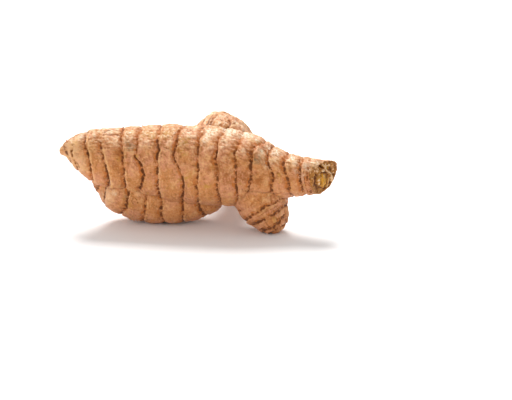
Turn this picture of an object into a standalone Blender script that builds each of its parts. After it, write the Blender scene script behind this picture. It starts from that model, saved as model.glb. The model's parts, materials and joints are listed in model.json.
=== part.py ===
"""A turmeric root: one ringed rhizome with three shorter fingers grown from it.

The root lies on a flat surface, on three small flat spots at height 0.
X runs along the root, from its growing tip to its broken end. Y points away from the viewer.
"""

import math

import bmesh
import bpy
import numpy as np
from mathutils import Vector, noise

# Sizes below are in millimetres, and meshes are made in metres
MM = 0.001

# Rings on the skin: a narrow crease, then the raised edge of the next scale, then a gentle swell
CREASE_DEPTH = 0.55
CREASE_REACH = 0.8
LIP_HEIGHT = 0.50
LIP_AT = 0.9
LIP_REACH = 2.4
BAND_SWELL = 0.25

# Where the lip, its foot, the swell and the crease's edge lie at most, as shares of a band
LIP_SHARE = 0.25
FOOT_SHARE = 0.45
SWELL_SHARE = 0.68
CREASE_SHARE = 0.80
FOOT_LIFT = 0.4

# Slow unevenness of the skin, and how far a ring wanders along the root
LUMP_HEIGHT = 0.045
LUMP_SIZE = 11.0
RING_WANDER = 0.6
WANDER_TURNS = 1.3
FULL_RELIEF_RADIUS = 8.0

# Each row is x, y, z of the middle line, then the radius there
BODY_LINE = (
    (-44.8, -11.9, 25.4, 1.7),
    (-43.6, -11.8, 25.5, 3.3),
    (-41.2, -11.6, 25.2, 5.4),
    (-36.1, -11.2, 24.1, 8.1),
    (-29.6, -10.9, 22.9, 9.5),
    (-19.7, -10.6, 22.1, 11.1),
    (-6.4, -11.5, 21.1, 12.9),
    (6.9, -14.0, 20.5, 12.6),
    (16.8, -16.0, 20.4, 11.4),
    (23.3, -17.7, 19.4, 8.9),
    (29.8, -19.5, 19.0, 7.0),
    (36.3, -21.2, 19.3, 6.0),
    (44.8, -24.0, 20.0, 5.0),
)

LOW_FINGER_LINE = (
    (-32.8, -8.8, 13.6, 3.6),
    (-31.2, -8.6, 13.0, 5.6),
    (-28.4, -8.6, 12.0, 7.6),
    (-23.2, -8.6, 10.8, 9.1),
    (-15.2, -8.6, 9.7, 9.6),
    (-5.2, -9.2, 9.8, 9.2),
    (2.8, -10.2, 11.2, 7.8),
    (5.8, -10.6, 12.4, 5.6),
)

BACK_FINGER_LINE = (
    (4.4, -11.6, 21.0, 9.8),
    (5.4, -4.1, 23.2, 9.7),
    (6.8, 3.9, 24.2, 9.5),
    (9.4, 11.4, 21.2, 9.0),
    (12.2, 17.4, 13.9, 8.2),
    (14.2, 21.2, 6.7, 7.0),
    (15.0, 22.6, 3.7, 5.4),
)

KNOB_LINE = (
    (14.8, -15.4, 19.0, 8.6),
    (18.8, -17.4, 13.2, 8.3),
    (22.3, -19.2, 7.4, 7.8),
    (24.4, -20.3, 4.1, 5.8),
)

# Each ring is where it crosses the top, the front and the underside, as distances along the line
BODY_RINGS = (
    (1.2, 1.8, 3.4),
    (2.7, 4.0, 6.6),
    (6.2, 9.2, 11.7),
    (10.6, 14.6, 16.4),
    (19.4, 20.7, 22.0),
    (24.6, 27.2, 26.8),
    (31.8, 33.0, 33.1),
    (38.2, 41.2, 42.3),
    (46.5, 47.8, 47.0),
    (53.4, 53.9, 54.1),
    (59.7, 60.4, 61.0),
    (65.4, 65.2, 67.0),
    (69.6, 71.9, 72.6),
    (75.2, 76.8, 78.0),
    (81.0, 81.2, 81.8),
)
LOW_FINGER_RINGS = (
    (1.9, 2.2, 3.6),
    (9.6, 10.1, 8.6),
    (15.4, 16.2, 15.6),
    (22.0, 21.4, 22.4),
    (28.2, 28.8, 28.0),
    (34.4, 34.0, 34.8),
)
BACK_FINGER_RINGS = (
    (13.0, 13.6, 13.0),
    (18.6, 18.0, 18.2),
    (23.4, 24.0, 23.6),
    (28.8, 28.4, 29.0),
    (33.4, 33.8, 33.2),
    (37.8, 37.4, 37.6),
    (41.8, 42.2, 41.6),
    (45.0, 44.8, 45.2),
)
KNOB_RINGS = (
    (6.6, 6.2, 6.4),
    (10.4, 10.8, 10.2),
    (14.0, 13.6, 14.2),
    (16.6, 16.9, 16.5),
)

# The broken end's edge, as the rings but with the back too, so that its face slants to the front
BROKEN_EDGE = (88.8, 85.4, 86.2, 90.6)

# Rows across an end: share of the way out from its middle, then distance outward
BROKEN_FACE = ((0.97, 0.45), (0.84, 0.35), (0.68, -0.50), (0.42, -0.30), (0.20, 0.60))
BURIED_FACE = ((0.6, 0.0),)

# The same for a rounded tip, with its distance outward as a share of the radius
ROUND_TIP = ((0.90, 0.24), (0.66, 0.50), (0.34, 0.69))

BODY_SIDES = 34
FINGER_SIDES = 24
KNOB_SIDES = 20
LINE_STEPS = 16
GROUND_REACH = 80.0
SHARP_ANGLE = math.radians(50)

SKIN_COLOUR = (0.50, 0.22, 0.10, 1.0)
SKIN_ROUGHNESS = 0.72


def clear_scene():
    for item in list(bpy.data.objects):
        bpy.data.objects.remove(item, do_unlink=True)


def curve_through(points):
    """Close points on a smooth curve through the given rows, with the spacing taken into account."""
    rows = np.array(points, dtype=float)
    before = 2 * rows[0] - rows[1]
    after = 2 * rows[-1] - rows[-2]
    rows = np.vstack([before, rows, after])
    knots = np.concatenate([[0.0], np.cumsum(np.linalg.norm(np.diff(rows[:, :3], axis=0), axis=1))])
    close = []
    for i in range(1, len(rows) - 2):
        span = knots[i + 1] - knots[i]
        slope_in = (rows[i + 1] - rows[i - 1]) / (knots[i + 1] - knots[i - 1]) * span
        slope_out = (rows[i + 2] - rows[i]) / (knots[i + 2] - knots[i]) * span
        steps = LINE_STEPS + 1 if i == len(rows) - 3 else LINE_STEPS
        for t in np.linspace(0, 1, steps, endpoint=i == len(rows) - 3):
            close.append(
                (2 * t**3 - 3 * t**2 + 1) * rows[i]
                + (t**3 - 2 * t**2 + t) * slope_in
                + (3 * t**2 - 2 * t**3) * rows[i + 1]
                + (t**3 - t**2) * slope_out
            )
    return np.array(close)


class Form:
    """One tapered, ringed length of root round a smooth middle line."""

    def __init__(self, name, line, rings, upward, sides):
        close = curve_through(line)
        self.name = name
        self.middle = close[:, :3]
        self.radius = close[:, 3]
        steps = np.linalg.norm(np.diff(self.middle, axis=0), axis=1)
        self.distance = np.concatenate([[0.0], np.cumsum(steps)])
        self.length = float(self.distance[-1])
        self.heading = np.gradient(self.middle, self.distance, axis=0)
        self.rings = rings
        self.upward = Vector(upward)
        self.sides = sides

    def read(self, table, distance):
        return Vector([float(np.interp(distance, self.distance, column)) for column in table.T])

    def radius_at(self, distance):
        return float(np.interp(distance, self.distance, self.radius))

    def ring_place(self, number, turn):
        """Distance along the middle line of one ring, at one turn round the root."""
        ring = self.rings[number]
        where = Vector((math.cos(turn), math.sin(turn), 3.7 * number + 0.31 * self.length))
        wander = RING_WANDER * noise.noise(where * WANDER_TURNS) * self.share(ring[1])
        return slanted(ring, turn) + wander

    def share(self, distance):
        """Relief is shallower where the root is thin."""
        return min(1.0, self.radius_at(distance) / FULL_RELIEF_RADIUS)

    def point(self, distance, turn, lift=0.0):
        """A point on the skin. Turn 0 is upward, a quarter turn faces the viewer."""
        middle = self.read(self.middle, distance)
        heading = self.read(self.heading, distance).normalized()
        crown = (self.upward - heading * self.upward.dot(heading)).normalized()
        front = heading.cross(crown)
        out = crown * math.cos(turn) + front * math.sin(turn)
        radius = self.radius_at(distance)
        lump = noise.noise((middle + out * radius) / LUMP_SIZE)
        return middle + out * (radius * (1 + LUMP_HEIGHT * lump) + lift)

    def turns(self):
        return [2 * math.pi * i / self.sides for i in range(self.sides)]

    def row_places(self):
        """Rows between rings: ring number before, share of the way to the next, and lift."""
        rows = []
        for number in range(len(self.rings) - 1):
            gap = self.rings[number + 1][1] - self.rings[number][1]
            rows.append((number, 0.0, -CREASE_DEPTH))
            rows.append((number, min(LIP_AT / gap, LIP_SHARE), LIP_HEIGHT))
            rows.append((number, min(LIP_REACH / gap, FOOT_SHARE), FOOT_LIFT * BAND_SWELL))
            rows.append((number, SWELL_SHARE, BAND_SWELL))
            rows.append((number, max(1.0 - CREASE_REACH / gap, CREASE_SHARE), 0.0))
        rows.append((len(self.rings) - 1, 0.0, -CREASE_DEPTH))
        return rows

    def ring_row(self, number, along, lift):
        points = []
        for turn in self.turns():
            start = self.ring_place(number, turn)
            stop = self.ring_place(min(number + 1, len(self.rings) - 1), turn)
            distance = start + along * (stop - start)
            points.append(self.point(distance, turn, lift * self.share(distance)))
        return points

    def edge_row(self, edge):
        """The outline of an end, which may slant."""
        return [self.point(slanted(edge, turn), turn) for turn in self.turns()]

    def end_rows(self, rim, face, outward):
        """Rows that close an end, from the rim to its middle."""
        middle = sum(rim, Vector()) / len(rim)
        across = [rim[i - 1] - middle for i in range(len(rim))]
        facing = sum((across[i - 1].cross(across[i]) for i in range(len(rim))), Vector()).normalized()
        if facing.dot(outward) < 0:
            facing = -facing
        return [[middle + (point - middle) * share + facing * push for point in rim] for share, push in face]

    def mesh_object(self, start_face, end_face, end_edge=None):
        start = self.edge_row((0.0, 0.0, 0.0))
        end = self.edge_row(end_edge or (self.length, self.length, self.length))
        first, last = self.heading[0], self.heading[-1]
        rows = self.end_rows(start, start_face, -Vector(first))[::-1] + [start]
        rows += [self.ring_row(*place) for place in self.row_places()]
        rows += [end] + self.end_rows(end, end_face, Vector(last))
        return skin_object(self.name, rows)


def slanted(crossings, turn):
    """Where a slanting ring lies at one turn, from its top, front, underside and back."""
    top, front, under = crossings[:3]
    back = crossings[3] if len(crossings) > 3 else front
    middle = (top + front + under + back) / 4
    bend = (top + under - front - back) / 4
    tilt = (top - under) / 2 * math.cos(turn) + (front - back) / 2 * math.sin(turn)
    return middle + tilt + bend * math.cos(2 * turn)


def round_tip(radius):
    return tuple((share, out * radius) for share, out in ROUND_TIP)


def skin_object(name, rows):
    """One closed skin over rows of points, with a middle point at each end."""
    shape = bmesh.new()
    loops = [[shape.verts.new(point * MM) for point in row] for row in rows]
    for first, second in zip(loops, loops[1:]):
        for i in range(len(first)):
            j = (i + 1) % len(first)
            shape.faces.new((first[i], first[j], second[j], second[i]))
    for loop in (loops[0], loops[-1]):
        middle = shape.verts.new(sum((vert.co for vert in loop), Vector()) / len(loop))
        for i in range(len(loop)):
            shape.faces.new((loop[i], loop[(i + 1) % len(loop)], middle))
    bmesh.ops.recalc_face_normals(shape, faces=shape.faces)
    bmesh.ops.triangulate(shape, faces=shape.faces)
    return place_mesh(name, shape)


def ground_block():
    """Everything below the surface that the root lies on, used only to cut."""
    shape = bmesh.new()
    bmesh.ops.create_cube(shape, size=2 * GROUND_REACH * MM)
    bmesh.ops.translate(shape, verts=shape.verts, vec=(0.0, 0.0, -GROUND_REACH * MM))
    return place_mesh("ground_cut", shape)


def place_mesh(name, shape):
    mesh = bpy.data.meshes.new(name)
    shape.to_mesh(mesh)
    shape.free()
    item = bpy.data.objects.new(name, mesh)
    bpy.context.scene.collection.objects.link(item)
    return item


def apply_boolean(target, operation, tools):
    """Join or cut the target by the tools, then remove them."""
    group = bpy.data.collections.new(operation.lower())
    bpy.context.scene.collection.children.link(group)
    for tool in tools:
        bpy.context.scene.collection.objects.unlink(tool)
        group.objects.link(tool)
    change = target.modifiers.new(operation.lower(), "BOOLEAN")
    change.operation = operation
    change.operand_type = "COLLECTION"
    change.collection = group
    change.solver = "EXACT"
    bpy.context.view_layer.update()
    evaluated = target.evaluated_get(bpy.context.evaluated_depsgraph_get())
    finished = bpy.data.meshes.new_from_object(evaluated)
    target.modifiers.clear()
    target.data = finished
    for tool in tools:
        bpy.data.objects.remove(tool, do_unlink=True)
    bpy.data.collections.remove(group)


def skin_material():
    material = bpy.data.materials.new("turmeric_skin")
    material.use_nodes = True
    shader = material.node_tree.nodes["Principled BSDF"]
    shader.inputs["Base Color"].default_value = SKIN_COLOUR
    shader.inputs["Roughness"].default_value = SKIN_ROUGHNESS
    shader.inputs["Metallic"].default_value = 0.0
    return material


def make_root():
    body = Form("rhizome", BODY_LINE, BODY_RINGS, (0, 0, 1), BODY_SIDES)
    low = Form("low_finger", LOW_FINGER_LINE, LOW_FINGER_RINGS, (0, 0, 1), FINGER_SIDES)
    back = Form("back_finger", BACK_FINGER_LINE, BACK_FINGER_RINGS, (1, 0, 0), FINGER_SIDES)
    knob = Form("knob", KNOB_LINE, KNOB_RINGS, (1, 0, 0), KNOB_SIDES)
    root = body.mesh_object(round_tip(body.radius_at(0)), BROKEN_FACE, BROKEN_EDGE)
    fingers = [
        low.mesh_object(round_tip(low.radius_at(0)), round_tip(low.radius_at(low.length))),
        back.mesh_object(BURIED_FACE, round_tip(back.radius_at(back.length))),
        knob.mesh_object(BURIED_FACE, round_tip(knob.radius_at(knob.length))),
    ]
    apply_boolean(root, "UNION", fingers)
    return root


def cut_rest_spots(root):
    """Flatten the lowest skin of the three fingers, so that the root stands steady."""
    apply_boolean(root, "DIFFERENCE", [ground_block()])


def main():
    clear_scene()
    root = make_root()
    cut_rest_spots(root)
    root.data.materials.clear()
    root.data.materials.append(skin_material())
    root.data.shade_smooth()
    root.data.set_sharp_from_angle(angle=SHARP_ANGLE)


main()
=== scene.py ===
import json
import math
from itertools import product

import bmesh
import bpy
import numpy as np
from bpy.props import FloatProperty, FloatVectorProperty, PointerProperty
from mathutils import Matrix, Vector, kdtree, noise
from mathutils.bvhtree import BVHTree


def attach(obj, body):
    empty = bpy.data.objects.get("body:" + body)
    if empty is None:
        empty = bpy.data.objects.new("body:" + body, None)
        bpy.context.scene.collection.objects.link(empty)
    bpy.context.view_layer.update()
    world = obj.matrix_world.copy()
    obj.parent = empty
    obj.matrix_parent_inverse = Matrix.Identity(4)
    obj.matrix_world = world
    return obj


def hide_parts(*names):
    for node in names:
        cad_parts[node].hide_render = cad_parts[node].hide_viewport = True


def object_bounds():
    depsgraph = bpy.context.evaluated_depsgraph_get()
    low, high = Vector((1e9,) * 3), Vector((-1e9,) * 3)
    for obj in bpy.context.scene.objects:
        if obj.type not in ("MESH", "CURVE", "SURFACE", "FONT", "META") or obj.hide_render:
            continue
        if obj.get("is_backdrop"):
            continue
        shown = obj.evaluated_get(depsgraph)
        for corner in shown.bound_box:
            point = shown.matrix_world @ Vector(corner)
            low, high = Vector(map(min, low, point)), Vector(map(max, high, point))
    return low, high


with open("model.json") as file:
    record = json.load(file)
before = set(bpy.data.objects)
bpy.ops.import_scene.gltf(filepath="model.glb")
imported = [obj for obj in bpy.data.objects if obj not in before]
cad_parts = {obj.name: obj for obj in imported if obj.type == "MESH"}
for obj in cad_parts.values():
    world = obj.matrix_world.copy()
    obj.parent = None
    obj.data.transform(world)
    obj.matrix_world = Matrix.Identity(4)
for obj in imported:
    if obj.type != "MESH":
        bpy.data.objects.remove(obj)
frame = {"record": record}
CAD_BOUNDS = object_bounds()

bl_info = {
    "name": "Turmeric Root",
    "version": (1, 0, 0),
    "blender": (4, 5, 0),
    "location": "3D View > Sidebar > Turmeric",
    "description": "Builds the skin, scale fringes and fibres of a fresh turmeric root",
    "category": "Add Mesh",
}

# Lengths below are in millimetres unless a property says otherwise
MM = 0.001
BODY = "root"
NODE = frame["record"]["subparts"][0]["node"]

# Each row is x, y, z of a middle line, then the radius there
BODY_LINE = (
    (-44.8, -11.9, 25.4, 1.7),
    (-43.6, -11.8, 25.5, 3.3),
    (-41.2, -11.6, 25.2, 5.4),
    (-36.1, -11.2, 24.1, 8.1),
    (-29.6, -10.9, 22.9, 9.5),
    (-19.7, -10.6, 22.1, 11.1),
    (-6.4, -11.5, 21.1, 12.9),
    (6.9, -14.0, 20.5, 12.6),
    (16.8, -16.0, 20.4, 11.4),
    (23.3, -17.7, 19.4, 8.9),
    (29.8, -19.5, 19.0, 7.0),
    (36.3, -21.2, 19.3, 6.0),
    (44.8, -24.0, 20.0, 5.0),
)
LOW_FINGER_LINE = (
    (-32.8, -8.8, 13.6, 3.6),
    (-31.2, -8.6, 13.0, 5.6),
    (-28.4, -8.6, 12.0, 7.6),
    (-23.2, -8.6, 10.8, 9.1),
    (-15.2, -8.6, 9.7, 9.6),
    (-5.2, -9.2, 9.8, 9.2),
    (2.8, -10.2, 11.2, 7.8),
    (5.8, -10.6, 12.4, 5.6),
)
BACK_FINGER_LINE = (
    (4.4, -11.6, 21.0, 9.8),
    (5.4, -4.1, 23.2, 9.7),
    (6.8, 3.9, 24.2, 9.5),
    (9.4, 11.4, 21.2, 9.0),
    (12.2, 17.4, 13.9, 8.2),
    (14.2, 21.2, 6.7, 7.0),
    (15.0, 22.6, 3.7, 5.4),
)
KNOB_LINE = (
    (14.8, -15.4, 19.0, 8.6),
    (18.8, -17.4, 13.2, 8.3),
    (22.3, -19.2, 7.4, 7.8),
    (24.4, -20.3, 4.1, 5.8),
)

# Each ring is where it crosses the top, the front and the underside, as distances along the line
BODY_RINGS = (
    (1.2, 1.8, 3.4),
    (2.7, 4.0, 6.6),
    (6.2, 9.2, 11.7),
    (10.6, 14.6, 16.4),
    (19.4, 20.7, 22.0),
    (24.6, 27.2, 26.8),
    (31.8, 33.0, 33.1),
    (38.2, 41.2, 42.3),
    (46.5, 47.8, 47.0),
    (53.4, 53.9, 54.1),
    (59.7, 60.4, 61.0),
    (65.4, 65.2, 67.0),
    (69.6, 71.9, 72.6),
    (75.2, 76.8, 78.0),
    (81.0, 81.2, 81.8),
    (83.5, 83.8, 84.3),
)
LOW_FINGER_RINGS = (
    (1.9, 2.2, 3.6),
    (9.6, 10.1, 8.6),
    (15.4, 16.2, 15.6),
    (22.0, 21.4, 22.4),
    (28.2, 28.8, 28.0),
    (34.4, 34.0, 34.8),
)
BACK_FINGER_RINGS = (
    (13.0, 13.6, 13.0),
    (18.6, 18.0, 18.2),
    (23.4, 24.0, 23.6),
    (28.8, 28.4, 29.0),
    (33.4, 33.8, 33.2),
    (37.8, 37.4, 37.6),
    (41.8, 42.2, 41.6),
    (45.0, 44.8, 45.2),
)
KNOB_RINGS = (
    (6.6, 6.2, 6.4),
    (10.4, 10.8, 10.2),
    (14.0, 13.6, 14.2),
    (16.6, 16.9, 16.5),
)
BROKEN_EDGE = (88.8, 85.4, 86.2, 90.6)

# Where the skin is most wrinkled, and where it is painted pale on the upper side: papery skin with painted highlight
# where the light falls from above
UPPER_FRONT = (0.0, -0.2, 0.98)
UPPER_SIDE = (0.0, -0.05, 1.0)

# Points on a middle line for each of its rows, and the root's broad lumps: height as a share, size
LINE_STEPS = 16
LUMP_HEIGHT = 0.045
LUMP_SIZE = 11.0
# How far rings wander, how often round the root, and the radius from which relief has its full height
RING_WANDER = 0.6
WANDER_TURNS = 1.3
FULL_RELIEF_RADIUS = 8.0
# Small raggedness of the rings: how fine, height
RING_JAGS = ((4, 0.22), (11, 0.20), (25, 0.06))
# The least and the most depth of a ring
RING_DEPTHS = (0.12, 1.9)
# A crease on the side after its ring and on the side ahead of it: widths, and how steeply the second fades
CREASE_AFTER = 0.36
CREASE_AHEAD = 0.80
CREASE_POWER = 1.2
# The raised lip after a ring, and the fainter lines that repeat behind it
LIP_RISE = 0.32
LIP_FADE = 1.2
ECHO_FADE = 2.0
ECHO_SPACING = 1.05

# Seen courses of the body's rings: turn in degrees, distance along the line, depth
BODY_COURSES = {
    0: ((50, 1.0, 0.5), (69, 1.1, 0.6), (88, 1.5, 1.0), (105, 2.1, 0.9), (115, 3.1, 0.7)),
    1: ((30, 3.2, 0.2), (48, 3.1, 0.3), (68, 3.0, 0.4), (80, 2.9, 1.1), (98, 3.7, 0.4), (112, 4.7, 0.3),
        (129, 6.0, 0.9)),
    2: ((12, 7.2, 0.5), (22, 6.6, 1.0), (46, 6.8, 1.4), (62, 7.4, 1.2), (74, 8.4, 1.1), (88, 9.2, 1.0),
        (99, 10.0, 1.0), (115, 10.6, 0.8), (140, 11.5, 0.7)),
    3: ((7, 10.4, 0.5), (26, 10.9, 0.6), (53, 12.4, 0.7), (62, 12.8, 0.8), (76, 13.8, 0.8), (87, 14.4, 0.8),
        (94, 15.1, 0.9), (105, 15.6, 1.2), (119, 16.2, 1.3), (132, 16.4, 1.4)),
    4: ((-16, 19.8, 0.6), (14, 19.7, 1.0), (27, 19.0, 1.1), (42, 19.3, 0.7), (60, 19.9, 1.0), (74, 20.3, 0.8),
        (87, 20.4, 0.8), (99, 20.9, 0.8), (112, 21.1, 1.0), (132, 21.6, 0.9)),
    5: ((0, 25.6, 0.8), (22, 25.3, 0.9), (39, 25.1, 0.8), (54, 25.3, 0.7), (64, 25.4, 0.6), (71, 25.0, 1.0),
        (76, 26.3, 1.2), (82, 27.1, 1.4), (93, 28.0, 1.4), (99, 28.5, 1.5), (114, 27.9, 1.5), (126, 27.3, 1.3),
        (141, 26.5, 1.0)),
    6: ((6, 32.1, 0.9), (21, 32.3, 1.0), (42, 32.1, 0.7), (53, 32.6, 0.9), (58, 33.3, 1.2), (64, 32.5, 1.3),
        (74, 32.7, 1.3), (81, 33.1, 1.2), (92, 33.2, 1.0), (108, 33.5, 0.8), (122, 33.7, 0.9), (136, 33.9, 1.1)),
    7: ((6, 40.0, 1.0), (18, 39.3, 1.2), (32, 39.0, 1.1), (44, 39.3, 1.3), (54, 39.0, 1.0), (62, 38.7, 0.9),
        (69, 39.3, 1.1), (76, 40.5, 1.2), (81, 41.2, 1.0), (87, 42.0, 0.5), (93, 42.8, 1.3), (106, 43.1, 1.4),
        (119, 42.9, 1.5), (138, 41.9, 1.3)),
    8: ((6, 46.6, 1.0), (20, 46.9, 1.3), (30, 47.2, 1.4), (36, 46.8, 1.4), (42, 47.4, 1.3), (53, 47.6, 0.8),
        (62, 47.6, 0.8), (74, 48.0, 0.7), (81, 48.2, 0.9), (93, 48.0, 0.8), (105, 47.9, 0.8), (122, 47.8, 0.8)),
    9: ((9, 54.4, 0.5), (20, 54.1, 0.8), (27, 53.5, 1.0), (34, 53.2, 1.2), (45, 53.8, 1.4), (54, 53.7, 1.3),
        (63, 53.4, 1.0), (72, 54.0, 1.0), (81, 54.6, 1.1), (93, 54.3, 0.8)),
    10: ((6, 59.9, 0.5), (21, 60.2, 1.5), (27, 59.8, 0.8), (36, 59.8, 0.6), (57, 59.7, 0.9), (63, 59.9, 1.0),
         (70, 60.4, 1.0), (81, 60.5, 0.8)),
    11: ((3, 65.7, 0.6), (16, 65.3, 1.0), (26, 64.5, 1.3), (36, 63.8, 1.3), (46, 64.1, 1.2), (58, 64.4, 1.2),
         (70, 64.8, 1.3), (81, 65.7, 1.3)),
    12: ((2, 69.2, 0.6), (16, 69.2, 0.8), (27, 68.5, 1.0), (38, 69.4, 1.0), (46, 69.7, 0.7), (57, 70.7, 1.1),
         (64, 71.4, 1.2), (81, 72.6, 1.0)),
    13: ((-7, 75.3, 0.6), (14, 75.2, 0.8), (30, 75.3, 1.0), (46, 75.3, 1.2), (58, 75.8, 1.2), (69, 76.3, 1.1),
         (87, 77.4, 0.9)),
    14: ((-15, 80.6, 0.6), (10, 80.7, 0.8), (32, 81.0, 0.7), (45, 80.9, 0.8), (68, 81.0, 1.2), (88, 81.1, 1.1),
         (106, 81.6, 1.0)),
    15: ((-7, 83.5, 0.4), (27, 83.6, 0.5), (46, 83.7, 0.4), (68, 83.7, 0.5), (86, 83.8, 0.6), (122, 84.3, 0.6)),
}
COURSE_DISTANCE, COURSE_DEPTH = 1, 2
COURSE_MARGIN = 35
# How deep the first rings of a finger are
SOFT_RING = 0.3
# How much of a raised, light edge each of the body's rings keeps; the others have little
RING_LIPS = {2: 1.3, 3: 1.2, 4: 1.0, 6: 1.0, 8: 0.8, 9: 0.5}
PLAIN_LIP = 0.3
# Torn scale remnants where the rings cross the top: how much on each ring, then turn and width in degrees
TORN_RINGS = {3: 0.4, 4: 0.6, 5: 0.9, 6: 1.0, 7: 1.3, 8: 1.5, 9: 0.9, 10: 0.9, 11: 1.2, 12: 1.4, 13: 1.4, 14: 0.9}
TORN_TURN = (24, 17)
# The creases are shallower there
TORN_FILL = 0.55
# A swelling of the skin right after a ring, on the shoulder: turn and width in degrees, then height
CROWN_SWELL = (40, 20, 0.3)

# Folds in the skin: depth (negative for a raised line), width, then the points that the line follows. Each groove is
# painted darker, painted shade, and each raised line lighter, painted highlight
FOLDS = (
    (0.9, 0.5, ((5.6, 4.4, 33.9), (7.2, 4.8, 33.9), (8.8, 3.7, 33.5), (9.3, 2.4, 33.3))),
    (1.00, 0.5, ((5.6, 3.9, 33.9), (5.1, 1.3, 33.7), (4.2, -1.2, 33.2), (3.7, -3.7, 32.8), (3.4, -5.9, 32.5))),
    (0.5, 0.4, ((4.6, 4.2, 33.8), (3.7, 1.5, 33.6), (2.9, -2.1, 33.1), (2.2, -4.6, 32.6))),
    (1.3, 0.5, ((8.8, -3.9, 32.2), (9.6, -2.6, 31.6), (10.5, -1.9, 32.0), (11.6, -0.5, 31.5), (13.0, 3.2, 31.1),
                  (14.9, 5.9, 29.4))),
    (0.9, 0.45, ((9.4, 1.5, 32.9), (10.4, -0.4, 32.6), (10.3, -2.0, 32.0), (9.7, -5.6, 31.9))),
    (0.6, 0.4, ((6.8, -0.9, 33.7), (7.8, -2.1, 33.3), (8.8, -1.3, 33.2), (9.4, -1.1, 32.9))),
    (0.4, 0.4, ((1.0, 0.9, 32.4), (2.3, 2.5, 33.2))),
    (0.8, 0.5, ((10.4, 8.2, 32.0), (11.7, 5.3, 32.2), (13.5, 4.2, 31.0), (15.1, 5.6, 28.9))),
    (-0.45, 0.3, ((-32.9, -17.5, 16.2), (-31.0, -17.4, 15.6), (-29.4, -16.4, 14.6), (-26.7, -17.8, 15.0),
                   (-23.8, -17.6, 14.6), (-22.2, -17.9, 13.7), (-20.2, -18.0, 13.1), (-17.2, -18.5, 12.5))),
    (0.3, 0.3, ((-30.8, -14.6, 31.6), (-28.8, -14.7, 31.7), (-26.9, -14.7, 32.0), (-25.3, -15.7, 31.6))),
    (0.25, 0.3, ((-30.7, -13.1, 32.0), (-30.1, -12.1, 32.4), (-28.1, -12.0, 32.6), (-25.8, -13.1, 32.5))),
    (-0.35, 0.4, ((2.8, -22.7, 29.9), (4.4, -22.5, 30.4), (6.3, -21.7, 29.9))),
    (0.25, 0.3, ((33.2, -21.5, 25.4), (32.7, -23.3, 24.7), (31.8, -24.9, 23.7))),
    (0.35, 0.3, ((-40.5, -16.9, 23.5), (-39.5, -17.7, 22.4), (-39.1, -17.6, 21.2))),
)
# Broad hollows with no darker tone: depth (negative for a swelling), width, then the line that each follows
DENTS = (
    (-1.1, 2.2, ((4.8, 8.0, 32.6), (7.4, 8.3, 32.6))),
    (0.8, 2.2, ((-42.5, -13.0, 21.8), (-40.5, -13.2, 19.6), (-38.0, -13.4, 17.8))),
    (1.6, 2.0, ((-3.0, -9.0, 31.6), (0.5, -8.0, 32.3), (3.5, -7.5, 32.6), (8.0, -7.0, 32.4), (11.0, -6.8, 31.9),
                 (14.5, -5.8, 30.5), (17.0, -4.8, 28.5))),
    (0.8, 1.8, ((12.0, 6.0, 32.0), (14.1, 6.2, 30.2), (15.8, 6.4, 28.7))),
    (0.5, 1.2, ((7.5, 1.0, 34.0), (9.5, -1.5, 33.0))),
)

# Patches of another tone: x, y, z, the radius, and how strong the tone is where that isn't 1
OCHRE_PATCHES = (
    (-17.0, -16.1, 32.5, 2.2), (-14.6, -17.6, 31.9, 1.6), (-10.3, -17.8, 32.6, 2.0), (-8.5, -16.6, 33.3, 1.2),
    (-4.7, -20.7, 31.0, 1.6), (-3.4, -20.1, 31.6, 1.3), (-40.1, -15.7, 28.9, 1.2), (-31.7, -13.1, 13.0, 1.0),
    (-24.6, -17.5, 10.4, 0.8), (-22.6, -17.4, 12.0, 0.8), (17.5, -19.3, 31.4, 1.6), (19.8, -18.7, 30.5, 1.4),
    (13.8, -19.7, 31.8, 0.8), (-25.5, -20.7, 25.0, 1.0), (-23.0, -17.8, 8.5, 1.2),
)
# The first four rust patches, broad on the front of the body, are painted shade with a warm tint; the rest are the
# skin's own rusty spots
RUST_PATCHES = (
    (6.5, -25.5, 24.0, 2.4), (9.5, -26.0, 20.5, 3.0), (14.5, -26.5, 21.0, 2.6), (19.5, -26.0, 19.5, 2.4),
    (26.0, -24.5, 18.5, 1.1), (31.0, -25.0, 18.0, 1.0), (-14.2, -22.1, 27.1, 0.8), (-25.9, -20.0, 27.2, 1.6),
    (-26.9, -21.0, 22.7, 1.5), (-24.7, -20.1, 26.5, 0.9), (5.1, -25.6, 25.7, 0.8), (3.6, -26.4, 22.9, 1.0),
    (6.0, -26.1, 22.9, 1.0), (-35.0, -19.6, 22.9, 1.1), (-7.0, -17.3, 32.7, 1.0), (0.5, -17.2, 33.0, 1.1),
    (-20.2, -16.8, 31.4, 0.8), (-24.6, -21.0, 21.1, 1.2), (-25.0, -18.4, 15.2, 1.0), (37.1, -26.3, 22.9, 0.8),
    (27.5, -22.6, 25.6, 0.8), (-32.3, -12.8, 11.2, 1.2), (-24.9, -15.8, 6.2, 1.5),
)
GREY_PATCHES = (
    (-21.6, -19.7, 29.1, 2.0), (-20.2, -19.6, 29.3, 1.2), (-23.0, -18.5, 30.1, 1.2), (19.2, -25.3, 26.0, 1.8),
    (37.4, -25.3, 24.0, 1.6), (38.8, -23.8, 24.9, 1.4), (38.1, -25.2, 20.6, 1.5), (37.5, -25.3, 17.9, 1.5),
    (-29.7, -19.4, 18.3, 1.4), (-23.3, -17.3, 11.5, 1.5),
)
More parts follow.
